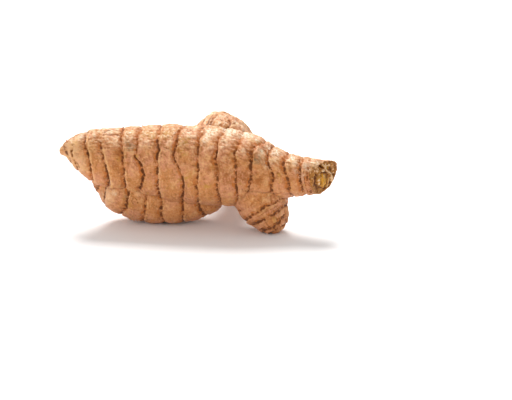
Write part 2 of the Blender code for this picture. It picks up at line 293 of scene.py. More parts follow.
# Pale patches are mostly painted highlight, along the body's crest, on the hump's top and as small glints on the
# neck; a few, as at the tip, are pale papery skin
PALE_AND_HIGHLIGHT_PATCHES = (
    (-30.5, -15.0, 11.0, 3.2, 0.45), (-43.0, -13.0, 27.5, 1.6), (5.0, 6.0, 34.2, 2.4, 0.5),
    (2.0, 3.0, 33.6, 1.6, 0.5), (7.0, 2.6, 34.0, 1.3, 0.6), (9.4, 6.5, 33.6, 1.5, 0.5), (12.4, 1.0, 31.8, 1.2),
    (8.6, -2.8, 32.6, 0.8), (-0.8, -13.2, 33.9, 1.6), (2.6, -15.6, 33.8, 1.8), (5.5, -15.6, 33.7, 1.8),
    (8.2, -15.2, 33.4, 1.6), (12.0, -15.4, 33.0, 1.8), (15.5, -15.6, 32.2, 1.6), (19.5, -18.6, 30.6, 1.6),
    (24.6, -18.4, 28.6, 1.5), (28.5, -21.0, 27.0, 1.4), (-38.5, -13.5, 30.6, 1.8), (-33.5, -12.8, 32.2, 1.8),
    (-41.4, -14.4, 28.8, 1.0), (-29.0, -13.2, 32.1, 1.6), (2.4, -20.7, 31.7, 2.0), (3.3, -18.8, 32.9, 2.2),
    (20.8, -22.9, 28.0, 1.5), (24.0, -21.4, 27.6, 1.5), (31.7, -23.9, 24.6, 1.5), (36.1, -26.2, 22.9, 1.0),
    (-27.9, -16.8, 12.4, 1.2, 0.7), (-41.0, -14.5, 26.0, 5.0, 0.3), (-39.0, -16.5, 22.5, 4.2, 0.25),
    (14.0, 2.5, 30.2, 2.6, 0.7), (15.0, 7.2, 29.0, 2.4, 0.5), (16.6, 8.8, 27.2, 2.0, 0.3),
    (24.5, -19.8, 28.0, 3.0, 1.3), (30.0, -21.5, 26.3, 2.8, 1.2), (34.5, -23.0, 25.5, 2.2, 0.8),
    (15.0, -16.5, 32.2, 4.0, 1.4), (10.0, -16.0, 33.0, 4.0, 1.4), (4.0, -17.0, 33.2, 3.0, 1.1),
    (34.8, -24.8, 24.6, 1.7, 0.9), (35.3, -26.3, 23.3, 1.1), (31.8, -26.2, 22.5, 1.0),
    (33.5, -26.0, 20.5, 1.6, 0.5), (22.5, -25.0, 24.5, 1.8, 0.5),
)

# Patches painted warmer and lighter as painted light, mostly on the tip, in the same way
PAINTED_LIGHT_PATCHES = (
    (-41.5, -15.5, 26.5, 4.5), (-38.8, -17.3, 23.0, 4.0, 0.8), (-41.0, -16.0, 22.0, 2.5, 0.9),
    (-36.0, -18.0, 28.0, 2.5, 0.5), (-30.5, -15.5, 11.0, 3.5, 0.6), (30.5, -24.5, 24.0, 2.0, 0.4),
    (20.5, -23.5, 27.0, 2.0, 0.5),
)

# Lines on the broken end: height (negative for a groove), width, then across and up from the middle of the face
BREAK_LINES = (
    (0.8, 0.36, ((-2.0, 4.5), (-1.0, 4.3), (-0.2, 3.7), (0.4, 3.2))),
    (0.55, 0.3, ((0.5, 4.1), (1.0, 3.6))),
    (0.6, 0.34, ((-2.6, 2.9), (-2.2, 2.3), (-2.4, 1.6))),
    (0.5, 0.28, ((-3.4, 0.9), (-3.1, 0.2), (-3.3, -0.6))),
    (0.95, 0.34, ((-1.6, 1.5), (-0.9, 2.1), (0.3, 2.4), (1.4, 1.8), (2.3, 0.9), (2.6, 0.1), (2.4, -0.9))),
    (0.45, 0.24, ((-1.9, -0.8), (-1.7, -1.8), (-1.8, -2.4))),
    (0.3, 0.22, ((-0.5, 0.5), (-0.2, -0.9), (-0.6, -2.3))),
    (0.35, 0.22, ((1.5, -0.5), (1.5, -1.8), (0.9, -3.2))),
    (0.35, 0.26, ((1.6, 3.9), (2.7, 3.5), (3.2, 2.4), (3.1, 1.2))),
    (0.3, 0.22, ((3.0, -0.6), (2.6, -1.9), (1.9, -3.0))),
    (-0.95, 0.42, ((-2.7, 0.5), (-2.9, -1.2), (-2.6, -2.6), (-2.0, -3.8))),
    (-0.9, 0.75, ((-3.3, 4.4), (-2.9, 3.4))),
    (-0.7, 0.34, ((-1.9, 3.8), (-1.1, 3.3), (-0.3, 3.0))),
    (-0.8, 0.34, ((-1.1, 1.4), (-0.2, 1.6), (0.8, 1.2), (1.5, 0.6))),
    (-0.55, 0.28, ((1.0, 3.0), (1.3, 2.3), (2.0, 2.2), (2.2, 2.9))),
    (-0.5, 0.28, ((2.3, 3.1), (2.8, 2.0), (3.1, 0.4))),
    (-0.45, 0.24, ((1.1, 0.4), (0.8, -0.7), (1.0, -1.9), (0.4, -3.0))),
    (-0.4, 0.22, ((-1.2, 0.6), (-1.0, -0.5), (-1.3, -1.6), (-1.1, -2.6))),
    (-0.35, 0.2, ((0.3, 0.6), (0.3, -0.6), (0.0, -1.6))),
    (-0.5, 0.3, ((-1.2, -3.3), (0.2, -3.8), (1.3, -3.0), (2.2, -1.6))),
)
# The ochre flesh that shows in it: across, up, half width, half height
BREAK_FLESH = (-0.3, -1.2, 1.7, 2.7)
BREAK_NODULE = (1.7, 2.7, 0.8, 0.8)
# The worn corner of the broken end: turn and width in degrees, how far it stands on
BROKEN_CORNER = (-38, 30, 1.3)
# The dry olive band before it, on the front: turn and width in degrees
OLIVE_BAND = (95, 60)

# A closed end: its rings as shares of its radius, the radius from which it has them, its bulge and its bud
CAP_RINGS = (0.78, 0.46)
CAP_RADIUS = 3.0
CAP_BULGE = 0.70
CAP_BUD = 0.6

# Scale tips that stand on the outline: form, distance, turn in degrees, length, radius
SCALE_TIPS = (
    ("body", 19.7, -14, 1.3, 0.28),
    ("body", 25.8, -12, 1.0, 0.24),
    ("body", 32.3, -10, 0.7, 0.2),
    ("body", 75.2, -10, 1.2, 0.24),
    ("body", 69.6, -12, 0.8, 0.2),
    ("body", 1.4, 22, 1.3, 0.34),
    ("body", 40.2, -40, 0.9, 0.22),
    ("back_finger", 23.8, 250, 0.8, 0.22),
)

# Buds: form, distance along it, turn in degrees, radius, height
BUDS = (
    ("body", 30.2, 262, 2.0, 1.1),
    ("body", 57.0, 205, 1.8, 0.9),
    ("body", 73.5, 300, 1.6, 0.9),
    ("low_finger", 12.4, 92, 1.5, 0.7),
    ("low_finger", 25.4, 262, 1.7, 0.8),
    ("back_finger", 26.0, 10, 1.6, 0.7),
)
# Round scars of roots: form, how many, then the range of turns in degrees
SCARS = (("body", 13, 150, 320), ("low_finger", 6, 110, 300), ("back_finger", 4, 200, 420), ("knob", 2, 100, 330))
SCAR_RADIUS = (0.45, 0.85)
SCAR_SPAN = (0.12, 0.9)

# The flat shoulder of the body: turn in degrees, width in degrees, height; then the distances of its span
SHOULDER = ((46, 15, 0.5), (84, 24, -0.32), (12, 16, -0.18))
SHOULDER_SPAN = (24.0, 30.0, 76.0, 82.0)

# Spacing of the fine mesh, and how much closer its rows are by the rings
ROW_SPACING = 0.33
SIDE_SPACING = 0.37
END_CROWDING = 0.6
# How far from a ring the finish still follows it, and the distance that stands for no ring
RING_SPAN = 2.0
NO_RING = 50.0

# Columns of what is kept at each point of the skin
GRAIN, ACROSS, RING, EDGES, END = slice(0, 3), slice(1, 3), slice(3, 6), slice(4, 6), slice(6, 9)
NEAR, DEEP, FLESH, DRY, RELIEF_SHADING, TORN, PAPERY_AND_HIGHLIGHT = 3, 4, 6, 7, 8, 9, 10

# Seams where forms join: the gap that tells a new point, rows softened, rounds, pull, and the darkness of the painted
# shade along the seam
SEAM_GAP = 1e-6
SEAM_ROWS = 3
SEAM_ROUNDS = 6
SEAM_PULL = 0.6
SEAM_SHADE = 0.35

# Looking for skin from outside: where a ray starts, how far it runs, and how far off the tube skin may be
RAY_START = 4
RAY_LENGTH = 8
SKIN_MARGIN = 1.6

# Scale fringes: the cover and the number of stations that a run has to exceed, its thickness, and the
# stations over which it tapers
SCALE_COVER = 0.34
SCALE_STATIONS = 4
SCALE_THICKNESS = 0.05
SCALE_TAPER = 3

# Short dry fibres: how many on each stretch of root, turns in degrees, shift off the ring, length, radius,
# lean, depth of the foot under the skin, and how much of the radius is lost towards the end
FIBRES = 46
FIBRE_STRETCH = 90
FIBRE_TURNS = (95, 330)
FIBRE_SHIFT = (-0.2, 0.6)
FIBRE_LENGTH = (0.7, 2.0)
FIBRE_WIDTH = (0.05, 0.1)
FIBRE_LEAN = 0.5
FIBRE_SINK = 0.25
FIBRE_TAPER = 0.75
FIBRE_RINGS = 5
FIBRE_SIDES = 6

# Scale of the veins in two finishes, per metre
SCALE_VEIN = 1700.0
FIBRE_VEIN = 1300.0

# Seeded noise: cells of its table and its gain; then seeds, where that of the scales is added to a form's own
GRAIN_CELLS = 256
GRAIN_GAIN = 1.6
SCALE_SEED = 100
CARVE_SEED = 71
PATCH_SEED = 83
SCAR_SEED = 5
FIBRE_SEED = 19

# Studio, in metres: reach of the floor; place, target and size of each light
FLOOR_REACH = 4.0
TOP_LIGHT = ((-0.08, 0.48, 0.78), (0, 0, 0.01), 0.5)
FRONT_LIGHT = ((-0.45, -0.8, 0.45), (0, 0, 0.02), 0.7)

# Camera, from the photograph: the picture's size in pixels, the tilt, the lens and its sensor in millimetres,
# the scale at the root, the pixel row of the surface below it, the middle of the view, and the near clip in
# metres
IMAGE_WIDTH = 512
IMAGE_HEIGHT = 400
VIEW_TILT = math.radians(17)
LENS = 100.0
SENSOR = 36.0
PIXELS_PER_MM = 3.0
FLOOR_LINE = 224
VIEW_MIDDLE = (18.83, -11.6)
CLIP_START = 0.01


class Grain:
    """Smooth seeded noise over rows of points, between about -1 and 1."""

    def __init__(self, seed):
        rng = np.random.default_rng(seed)
        table = rng.permutation(GRAIN_CELLS)
        self.table = np.concatenate([table, table])
        slopes = rng.normal(size=(GRAIN_CELLS, 3))
        self.slopes = slopes / np.linalg.norm(slopes, axis=1, keepdims=True)

    def __call__(self, x, y, z=0.0):
        points = np.stack(np.broadcast_arrays(x, y, z), axis=-1).astype(float)
        cell = np.floor(points).astype(int)
        part = points - cell
        fade = part**3 * (part * (part * 6 - 15) + 10)
        total = np.zeros(points.shape[:-1])
        for corner in product((0, 1), repeat=3):
            step = (cell + corner) % GRAIN_CELLS
            index = self.table[self.table[self.table[step[..., 0]] + step[..., 1]] + step[..., 2]]
            value = ((part - corner) * self.slopes[index]).sum(axis=-1)
            weight = np.where(corner, fade, 1 - fade).prod(axis=-1)
            total += weight * value
        return total * GRAIN_GAIN


def smooth(low, high, value):
    """From 0 to 1, eased, while a value goes from low to high."""
    t = np.clip((value - low) / (high - low), 0, 1)
    return t * t * (3 - 2 * t)


def bell(value, width, power=2):
    """1 where a value is zero, fading to 0 beyond a width."""
    return np.exp(-((value / width) ** power))


def ridged(value):
    """Noise folded into narrow ridges."""
    return 0.5 - 2 * np.abs(value)


def curve_through(points):
    """Close points on a smooth curve through the given rows, with the spacing taken into account."""
    rows = np.array(points, dtype=float)
    rows = np.vstack([2 * rows[0] - rows[1], rows, 2 * rows[-1] - rows[-2]])
    knots = np.concatenate([[0.0], np.cumsum(np.linalg.norm(np.diff(rows[:, :3], axis=0), axis=1))])
    close = []
    for i in range(1, len(rows) - 2):
        span = knots[i + 1] - knots[i]
        slope_in = (rows[i + 1] - rows[i - 1]) / (knots[i + 1] - knots[i - 1]) * span
        slope_out = (rows[i + 2] - rows[i]) / (knots[i + 2] - knots[i]) * span
        last = i == len(rows) - 3
        for t in np.linspace(0, 1, LINE_STEPS + last, endpoint=last):
            close.append(
                (2 * t**3 - 3 * t**2 + 1) * rows[i]
                + (t**3 - 2 * t**2 + t) * slope_in
                + (3 * t**2 - 2 * t**3) * rows[i + 1]
                + (t**3 - t**2) * slope_out
            )
    return np.array(close)


def slanted(crossings, turn):
    """Where a slanting ring lies at each turn, from its top, front, underside and back."""
    top, front, under = crossings[:3]
    back = crossings[3] if len(crossings) > 3 else front
    middle = (top + front + under + back) / 4
    bend = (top + under - front - back) / 4
    tilt = (top - under) / 2 * np.cos(turn) + (front - back) / 2 * np.sin(turn)
    return middle + tilt + bend * np.cos(2 * turn)


class Form:
    """One tapered, ringed length of root round a smooth middle line."""

    def __init__(self, name, line, rings, upward, seed, courses=None, broken_edge=None, soft_rings=0):
        close = curve_through(line)
        self.name = name
        self.middle = close[:, :3]
        self.radius = close[:, 3]
        steps = np.linalg.norm(np.diff(self.middle, axis=0), axis=1)
        self.distance = np.concatenate([[0.0], np.cumsum(steps)])
        self.length = float(self.distance[-1])
        self.heading = np.gradient(self.middle, self.distance, axis=0)
        self.rings = rings
        self.upward = np.array(upward, dtype=float)
        self.seed = seed
        self.courses = courses or {}
        self.soft_rings = soft_rings
        self.broken_edge = broken_edge
        sides = int(2 * math.pi * self.radius.max() / SIDE_SPACING)
        self.turn = np.linspace(0, 2 * math.pi, sides, endpoint=False)
        self.circle = np.cos(self.turn), np.sin(self.turn)
        self.degrees = (np.degrees(self.turn) + 180) % 360 - 180
        self.ring_rows = np.array([self.ring_row(k) for k in range(len(rings))])

    def toward(self, place, width, power=2):
        """1 at one turn, fading away from it, both in degrees."""
        return bell(self.degrees - place, width, power)

    def on_course(self, number, plain, column):
        """A plain row of values, led over to the measured course where the ring has one."""
        if number not in self.courses:
            return plain
        course = np.array(self.courses[number])
        turns = course[:, 0]
        share = smooth(turns[0] - COURSE_MARGIN, turns[0], self.degrees)
        share *= smooth(turns[-1] + COURSE_MARGIN, turns[-1], self.degrees)
        return plain + share * (np.interp(self.degrees, turns, course[:, column]) - plain)

    def ring_row(self, number):
        """Distance along the line of one ring, at each turn round the root."""
        ring = self.rings[number]
        lift = 3.7 * number + 0.31 * self.length
        wander = [noise.noise(Vector((math.cos(turn), math.sin(turn), lift)) * WANDER_TURNS) for turn in self.turn]
        row = slanted(ring, self.turn) + RING_WANDER * np.array(wander) * self.share(ring[1])
        return self.on_course(number, row, COURSE_DISTANCE)

    def share(self, distance):
        """Relief is shallower where the root is thin."""
        return np.minimum(1.0, self.radius_at(distance) / FULL_RELIEF_RADIUS)

    def radius_at(self, distance):
        return np.interp(distance, self.distance, self.radius)

    def axes_at(self, distance, turn):
        """The middle, heading and outward direction at each distance and turn."""
        middle, heading = (
            np.stack([np.interp(distance, self.distance, c) for c in rows.T], axis=-1)
            for rows in (self.middle, self.heading)
        )
        heading /= np.linalg.norm(heading, axis=-1, keepdims=True)
        crown = self.upward - heading * (heading @ self.upward)[..., None]
        crown /= np.linalg.norm(crown, axis=-1, keepdims=True)
        front = np.cross(heading, crown)
        out = crown * np.cos(turn)[..., None] + front * np.sin(turn)[..., None]
        return middle, heading, out

    def spot(self, distance, degrees):
        """A point on the plain tube."""
        middle, _, out = self.axes_at(np.array(distance), np.radians(degrees))
        return middle + out * self.radius_at(distance)


def make_forms():
    """Every form, by name."""
    forms = (
        Form("body", BODY_LINE, BODY_RINGS, (0, 0, 1), 11, BODY_COURSES, BROKEN_EDGE),
        Form("low_finger", LOW_FINGER_LINE, LOW_FINGER_RINGS, (0, 0, 1), 23),
        Form("back_finger", BACK_FINGER_LINE, BACK_FINGER_RINGS, (1, 0, 0), 37, soft_rings=3),
        Form("knob", KNOB_LINE, KNOB_RINGS, (1, 0, 0), 41, soft_rings=2),
    )
    return {form.name: form for form in forms}


class Skin:
    """Rows of skin points of one form, with what the finish needs at each point."""

    def __init__(self, form, sizes):
        self.form = form
        self.sizes = sizes
        self.grain = Grain(form.seed)
        self.points = []
        self.marks = []

    def around(self, scale, lift):
        """Noise once round the root."""
        x, y = self.form.circle
        return self.grain(scale * x, scale * y, lift)

    def band_rows(self, number):
        """Shares of the way from one ring to the next, closer together by the rings."""
        gap = (self.form.ring_rows[number + 1] - self.form.ring_rows[number]).mean()
        count = max(6, int(gap / ROW_SPACING))
        t = np.arange(count) / count
        return t - END_CROWDING / (2 * math.pi) * np.sin(2 * math.pi * t)

    def ring(self, number):
        """A ring with its small wandering off its smooth course."""
        jag = sum(height * self.around(scale, 5.3 * number) for scale, height in RING_JAGS)
        share = self.form.share(self.form.rings[number][1])
        return self.form.ring_rows[number] + jag * share * self.sizes.ring_jag

    def strength(self, number, seed):
        """How deep or high a ring is at each turn."""
        form = self.form
        if not 0 <= number < len(form.rings):
            return np.zeros(len(form.turn))
        lift = 9.1 * number + seed
        wave = 0.9 + 0.65 * self.around(2.2, lift)
        deep = form.on_course(number, wave, COURSE_DEPTH) * (SOFT_RING if number < form.soft_rings else 1.0)
        deep += 0.45 * self.around(8, lift) + 0.22 * self.around(17, lift)
        return np.clip(deep, *RING_DEPTHS)

    def lip_share(self, number):
        """How much raised edge a ring keeps."""
        return RING_LIPS.get(number, PLAIN_LIP) if self.form.courses else 2 * PLAIN_LIP

    def torn(self, after, ahead, number):
        """Ragged scale remnants beside the rings, where they cross the top."""
        if not self.form.courses:
            return np.zeros_like(after)
        share = TORN_RINGS.get(number, 0) * bell(after - 0.1, 0.8)
        share += TORN_RINGS.get(number + 1, 0) * bell(ahead, 1.3)
        return share * self.form.toward(*TORN_TURN)

    def add_band(self, number):
        start, stop = self.ring(number), self.ring(number + 1)
        distance = start + self.band_rows(number)[:, None] * (stop - start)
        self.add_rows(distance, distance - start, stop - distance, number)

    def add_plain(self, first, last, number):
        """Rows with a ring on one side only, from one row of distances to another."""
        count = max(3, int(np.mean(last - first) / ROW_SPACING))
        distance = first + (np.arange(count) / count)[:, None] * (last - first)
        far = np.full_like(distance, NO_RING)
        after = distance - first if number >= 0 else far
        ahead = last - distance if number < 0 else far
        self.add_rows(distance, after, ahead, number)

    def shoulder(self, distance, number):
        """The body is flatter in front and on top, with a shoulder between."""
        low, start, stop, high = SHOULDER_SPAN
        share = smooth(low, start, distance) * smooth(high, stop, distance)
        shift = 6 * self.grain(0.5, number * 1.7, 3.3)
        degrees = self.form.degrees
        return sum(height * bell(degrees - place - shift, width) for place, width, height in SHOULDER) * share

    def add_rows(self, distance, after, ahead, number):
        """Rows of skin at given distances; after and ahead are how far the nearest rings are."""
        form, sizes, grain = self.form, self.sizes, self.grain
        turn = np.broadcast_to(form.turn, distance.shape)
        middle, _, out = form.axes_at(distance, turn)
        radius = form.radius_at(distance)
        share = form.share(distance)
        filled = 1 - TORN_FILL * form.toward(*TORN_TURN) if form.courses else 1.0
        deep_after, deep_ahead = (self.strength(number + k, 1.0) * filled for k in (0, 1))
        ragged = self.strength(number, 4.0) * self.lip_share(number)
        a, b, s = radius * np.cos(turn), radius * np.sin(turn), distance
        band = np.clip(after / (after + ahead + 1e-6), 0, 1)
        lit = smooth(-0.1, 0.7, out @ UPPER_FRONT)

        def rough(across, along, shift=0.0):
            return grain(a * across, b * across, s * along + shift)

        crease_after = bell(after, CREASE_AFTER) * deep_after
        crease_ahead = bell(ahead, CREASE_AHEAD, CREASE_POWER) * deep_ahead
        lip = (1 - bell(after, LIP_RISE)) * np.exp(-after / LIP_FADE) * ragged
        lip *= 0.8 + 0.7 * rough(1.4, 0.5)
        torn = self.torn(after, ahead, number) * smooth(-0.5, 0.15, rough(0.8, 0.8, 47))

        bend = 1.1 * rough(0.25, 0.25, 17)
        long_wrinkle = ridged(grain(a * 0.75 + bend, b * 0.75 - bend, s * 0.16))
        fine_wrinkle = ridged(grain(a * 1.5 + 9 + bend, b * 1.5, s * 0.30 + bend))
        net = ridged(grain(a * 0.55 + bend, b * 0.55, s * 0.50 - bend))
        fine_net = ridged(grain(a * 1.2 + bend, b * 1.2, s * 1.05 + 5))
        striae = grain(a * 0.28 + bend, b * 0.28, s * 1.5)
        pebble = rough(1.25, 1.25, 31)
        echo = np.exp(-after / ECHO_FADE) * np.sin(2 * math.pi * (after / ECHO_SPACING + 0.8 * bend))
        wrinkle = lit * (0.7 * long_wrinkle + 0.8 * fine_wrinkle + 0.9 * net + 1.0 * fine_net)
        wrinkle += (1 - lit) * (0.35 * net + 0.45 * fine_net + 0.5 * striae) + 0.3 * echo * ragged

        relief = -sizes.crease_depth * np.maximum(crease_after, crease_ahead)
        relief += sizes.lip_height * lip
        relief += sizes.band_swell * (np.sin(math.pi * band) if number >= 0 else 0)
        relief += sizes.wrinkle_height * wrinkle
        relief += sizes.pebble_height * pebble
        relief *= share / MM
        if form.soft_rings:
            relief *= 0.6 + 0.4 * smooth(10, 20, distance)
        relief += torn * (0.40 * rough(1.3, 1.3, 3) - 0.20)
        if form.courses:
            place, width, height = CROWN_SWELL
            crown = form.toward(place, width) * bell(after - 1.3, 1.1)
            relief += height * crown * share * (0.8 + 0.6 * rough(0.4, 0.1))
            relief += self.shoulder(distance, number) * (0.35 + 0.65 * np.sin(math.pi * band) ** 0.6)

        flat = (middle + out * radius[..., None]).reshape(-1, 3)
        lumps = np.array([noise.noise(Vector(p / LUMP_SIZE)) for p in flat]).reshape(radius.shape)
        reach = radius * (1 + LUMP_HEIGHT * lumps) + relief
        self.points.extend(middle + out * reach[..., None])

        last = len(form.rings) - 1
        near = np.where(after < ahead, after, -ahead)
        window = smooth(0.5, 0.36, np.minimum(band, 1 - band)) if 0 <= number < last else 1.0
        window = window * smooth(RING_SPAN, 0.8 * RING_SPAN, np.abs(near))
        deep = np.where(after < ahead, deep_after, deep_ahead) * window
        # Painted shade in the wrinkle hollows and painted highlight on their crests
        relief_shading = -0.8 * wrinkle - 0.5 * pebble
        zero = np.zeros_like(s)
        dry = zero
        if form.broken_edge and number == last:
            dry = smooth(0.1, 0.6, after) * form.toward(*OLIVE_BAND, power=4)
        # Pale on the upward wrinkle crests: papery skin, with painted highlight on the upper side
        papery_and_highlight = smooth(0.50, 0.92, out @ UPPER_SIDE) * smooth(-0.3, 0.8, wrinkle)
        near = np.clip(near, -RING_SPAN, RING_SPAN)
        self.marks.extend(
            np.stack([s, a, b, near, deep, ragged * window, zero, dry, relief_shading, torn, papery_and_highlight], axis=-1)
        )

    def add_cap(self, rim, marks, outward, broken):
        """Rows that close an end, from the rim to its middle."""
        middle = rim.mean(axis=0)
        across = rim - middle
        facing = np.cross(across, np.roll(across, -1, axis=0)).sum(axis=0)
        facing /= np.linalg.norm(facing)
        if facing @ outward < 0:
            facing = -facing
        radius = np.linalg.norm(across, axis=1).mean()
        count = max(4, int(radius / ROW_SPACING))
        caps, cap_marks = [], []
        for i in range(1, count):
            share = 1 - i / count
            if broken:
                share = share**0.9
                push, row_marks = self.broken_row(share, across, marks)
            else:
                push = CAP_BULGE * radius * (1 - share**2) ** 0.6 * np.ones(len(rim))
                row_marks = marks.copy()
                row_marks[:, ACROSS] *= share
                row_marks[:, EDGES] *= smooth(0.8, 1.0, share)
                if radius > CAP_RADIUS:
                    push += self.cap_ring(share, radius, row_marks)
            caps.append(middle + across * share + push[:, None] * facing)
            cap_marks.append(row_marks)
        return caps, cap_marks

    def cap_ring(self, share, radius, marks):
        """The small rings that close round the bud of an end."""
        push = np.zeros(len(self.form.turn))
        for number, place in enumerate(CAP_RINGS):
            jag = 0.5 * self.around(1.3, number + 60) + 0.3 * self.around(5, number + 60)
            near = (place + 0.12 * self.around(1, number + 90) - share) * radius + jag
            deep = np.clip(1.0 + 0.8 * self.around(3, number + 70), 0.2, 1.7)
            push += -0.40 * deep * bell(near, 0.4) + 0.30 * bell(near - 0.8, 0.6)
            closer = np.abs(near) < RING_SPAN / 2
            marks[closer, NEAR] = near[closer]
            marks[closer, DEEP] = deep[closer]
        return push + CAP_BUD * math.exp(-((share / 0.3) ** 2))

    def broken_row(self, share, across, marks):
        """The dry broken end: a worn rim, a crumpled floor and a hooded stub of ochre flesh."""
        grain = self.grain
        x, y, z = (across * share).T
        rough = grain(x * 0.7, y * 0.7, z * 0.7)
        fine = grain(x * 1.5, y * 1.5, z * 1.5)
        seen = np.stack([x + 0.18 * rough, 0.96 * z + 0.29 * y + 0.15 * fine], axis=-1)
        inner = smooth(1.0, 0.84, share)
        push, raised, sunk = (np.zeros(len(x)) for _ in range(3))
        for height, width, line in BREAK_LINES:
            mark = bell(line_gap(seen, line), width) * (0.9 + 0.5 * rough) * inner
            push += height * mark
            if height > 0:
                raised = np.maximum(raised, mark)
            else:
                sunk = np.maximum(sunk, mark)
        flesh = np.maximum(*(
            smooth(1.3, 0.5, np.hypot((seen[:, 0] - h) / wide, (seen[:, 1] - k) / high) + 0.35 * fine)
            for h, k, wide, high in (BREAK_FLESH, BREAK_NODULE)
        ))
        dome = np.exp(-(((x + 0.2) / 2.3) ** 2) - (((seen[:, 1] + 0.8) / 3.0) ** 2))
        rim = bell(share - 0.96, 0.04) * (0.30 + 0.4 * rough)
        lines = 0.14 * np.cos(2 * math.pi * share * 6) * smooth(-0.2, 1.0, x) * smooth(0.2, 1.4, seen[:, 1])
        push += rim + inner * (0.9 * dome - 0.5 + 0.35 * fine) + lines * inner
        row_marks = marks.copy()
        row_marks[:, ACROSS] *= share
        row_marks[:, RING] = (RING_SPAN, 0, 0)
        row_marks[:, FLESH] = flesh * inner
        row_marks[:, DRY] = smooth(1.0, 0.93, share + 0.05 * rough) * (1 - row_marks[:, FLESH])
        # Grooves of the broken end are marked for painted shade and its raised lines for painted highlight
        row_marks[:, RELIEF_SHADING] = 1.4 * sunk - 1.4 * raised - 1.1 * fine - 3 * lines
        row_marks[:, TORN:] = 0
        return push, row_marks

    def build(self):
        """One closed mesh over all rows, its points in metres, and what it keeps at each of them."""
        form = self.form
        zero = np.zeros(len(form.turn))
        last = len(form.rings) - 1
        self.add_plain(zero, self.ring(0), -1)
        for number in range(last):
            self.add_band(number)
        end = zero + form.length
        if form.broken_edge:
            place, width, height = BROKEN_CORNER
            end = slanted(form.broken_edge, form.turn) + 0.35 * self.around(3, 2)
            end = np.minimum(end + height * form.toward(place, width), form.length)
        self.add_plain(self.ring(last), end, last)
        tip, tip_marks = self.add_cap(self.points[0], self.marks[0], -form.heading[0], False)
        butt, butt_marks = self.add_cap(
            self.points[-1], self.marks[-1], form.heading[-1], form.broken_edge is not None
        )
        points = closed_rows(tip[::-1] + self.points + butt) * MM
        rows, sides = len(tip) + len(self.points) + len(butt), len(form.turn)
        rim = (rows - 1) * sides
        faces = tube_faces(rows, sides)
        faces += [(k, (k + 1) % sides, rows * sides) for k in range(sides)]
        faces += [(rim + (k + 1) % sides, rim + k, rows * sides + 1) for k in range(sides)]
        return solid(form.name, points, faces), points, closed_rows(tip_marks[::-1] + self.marks + butt_marks)


def closed_rows(rows):
    """All values of the rows, then the middle of the first and the last row."""
    rows = np.array(rows)
    return np.vstack([rows.reshape(-1, rows.shape[-1]), rows[0].mean(axis=0), rows[-1].mean(axis=0)])


def tube_faces(rows, sides):
    i = np.arange(rows - 1)[:, None] * sides
    j = np.arange(sides)[None, :]
    k = (j + 1) % sides
    return np.stack([i + j, i + sides + j, i + sides + k, i + k], axis=-1).reshape(-1, 4).tolist()


def solid(name, points, faces):
    """A mesh object from points in metres, with its faces turned outward."""
    mesh = bpy.data.meshes.new(name)
    mesh.from_pydata(np.asarray(points).tolist(), [], faces)
    shape = bmesh.new()
    shape.from_mesh(mesh)
    bmesh.ops.recalc_face_normals(shape, faces=shape.faces)
    shape.to_mesh(mesh)
    shape.free()
    return placed(name, mesh)


def placed(name, data):
    """An object in the scene."""
    item = bpy.data.objects.new(name, data)
    bpy.context.scene.collection.objects.link(item)
    return item


def join_forms(items):
    """The mesh of closed forms joined into one."""
    target, others = items[0], items[1:]
    group = bpy.data.collections.new("fingers")
    bpy.context.scene.collection.children.link(group)
    for item in others:
        bpy.context.scene.collection.objects.unlink(item)
        group.objects.link(item)
    change = target.modifiers.new("join", "BOOLEAN")
    change.operation = "UNION"
    change.operand_type = "COLLECTION"
    change.collection = group
    change.solver = "MANIFOLD"
    bpy.context.view_layer.update()
    evaluated = target.evaluated_get(bpy.context.evaluated_depsgraph_get())
    joined = bpy.data.meshes.new_from_object(evaluated)
    for item in items:
        bpy.data.objects.remove(item, do_unlink=True)
    bpy.data.collections.remove(group)
    return joined


def read(things, name, size=3, kind=float):
    """Rows of what a mesh keeps for each of its points or edges."""
    values = np.empty(len(things) * size, dtype=kind)
    things.foreach_get(name, values)
    return values.reshape(-1, size)


def move(mesh, points):
    mesh.vertices.foreach_set("co", points.ravel())
    mesh.update()


def nearest(points, known):
    """The index of the nearest known point to each point, and how far it is."""
    tree = kdtree.KDTree(len(known))
    for i, point in enumerate(known):
        tree.insert(point, i)
    tree.balance()
    found = [tree.find(point) for point in points]
    return np.array([f[1] for f in found]), np.array([f[2] for f in found])


def soften(points, edges, chosen):
    """Even out chosen points towards their neighbours."""
    for _ in range(SEAM_ROUNDS):
        total = np.zeros_like(points)
        count = np.zeros(len(points))
        for a, b in ((0, 1), (1, 0)):
            np.add.at(total, edges[:, a], points[edges[:, b]])
            np.add.at(count, edges[:, a], 1)
        even = total / np.maximum(count, 1)[:, None]
        points[chosen] += SEAM_PULL * (even - points)[chosen]
    return points


def grow(chosen, edges, rounds):
    """Chosen points with their neighbours, and those of them in turn."""
    for _ in range(rounds):
        touched = chosen[edges].any(axis=1)
        chosen = chosen.copy()
        chosen[edges[touched].ravel()] = True
    return chosen


def store(mesh, name, values):
    """Keep rows of three values on the mesh, for the finish to read."""
    layer = mesh.attributes.new(name, "FLOAT_VECTOR", "POINT")
    layer.data.foreach_set("vector", np.ascontiguousarray(values, dtype=np.float32).ravel())


def inside(points):
    """Points in metres, kept within the box of the CAD solid."""
    return np.clip(points, np.array(CAD_BOUNDS[0]), np.array(CAD_BOUNDS[1]))


def line_gap(points, line):
    """How far points are from a line of short straight lengths."""
    gap = np.full(len(points), np.inf)
    line = np.array(line)
    for start, stop in zip(line[:-1], line[1:]):
        along = stop - start
        t = np.clip((points - start) @ along / (along @ along), 0, 1)
        gap = np.minimum(gap, np.linalg.norm(points - start - t[:, None] * along, axis=1))
    return gap


def patch_share(points, patches, grain):
    """Soft, ragged spots round the given places."""
    share = np.zeros(len(points))
    rough = 0.3 * grain(*(points * 1.1).T)
    for x, y, z, radius, *strength in patches:
        gap = np.linalg.norm(points - (x, y, z), axis=1) / radius
        share = np.maximum(share, smooth(1.25, 0.35, gap + rough) * (strength[0] if strength else 1.0))
    return share


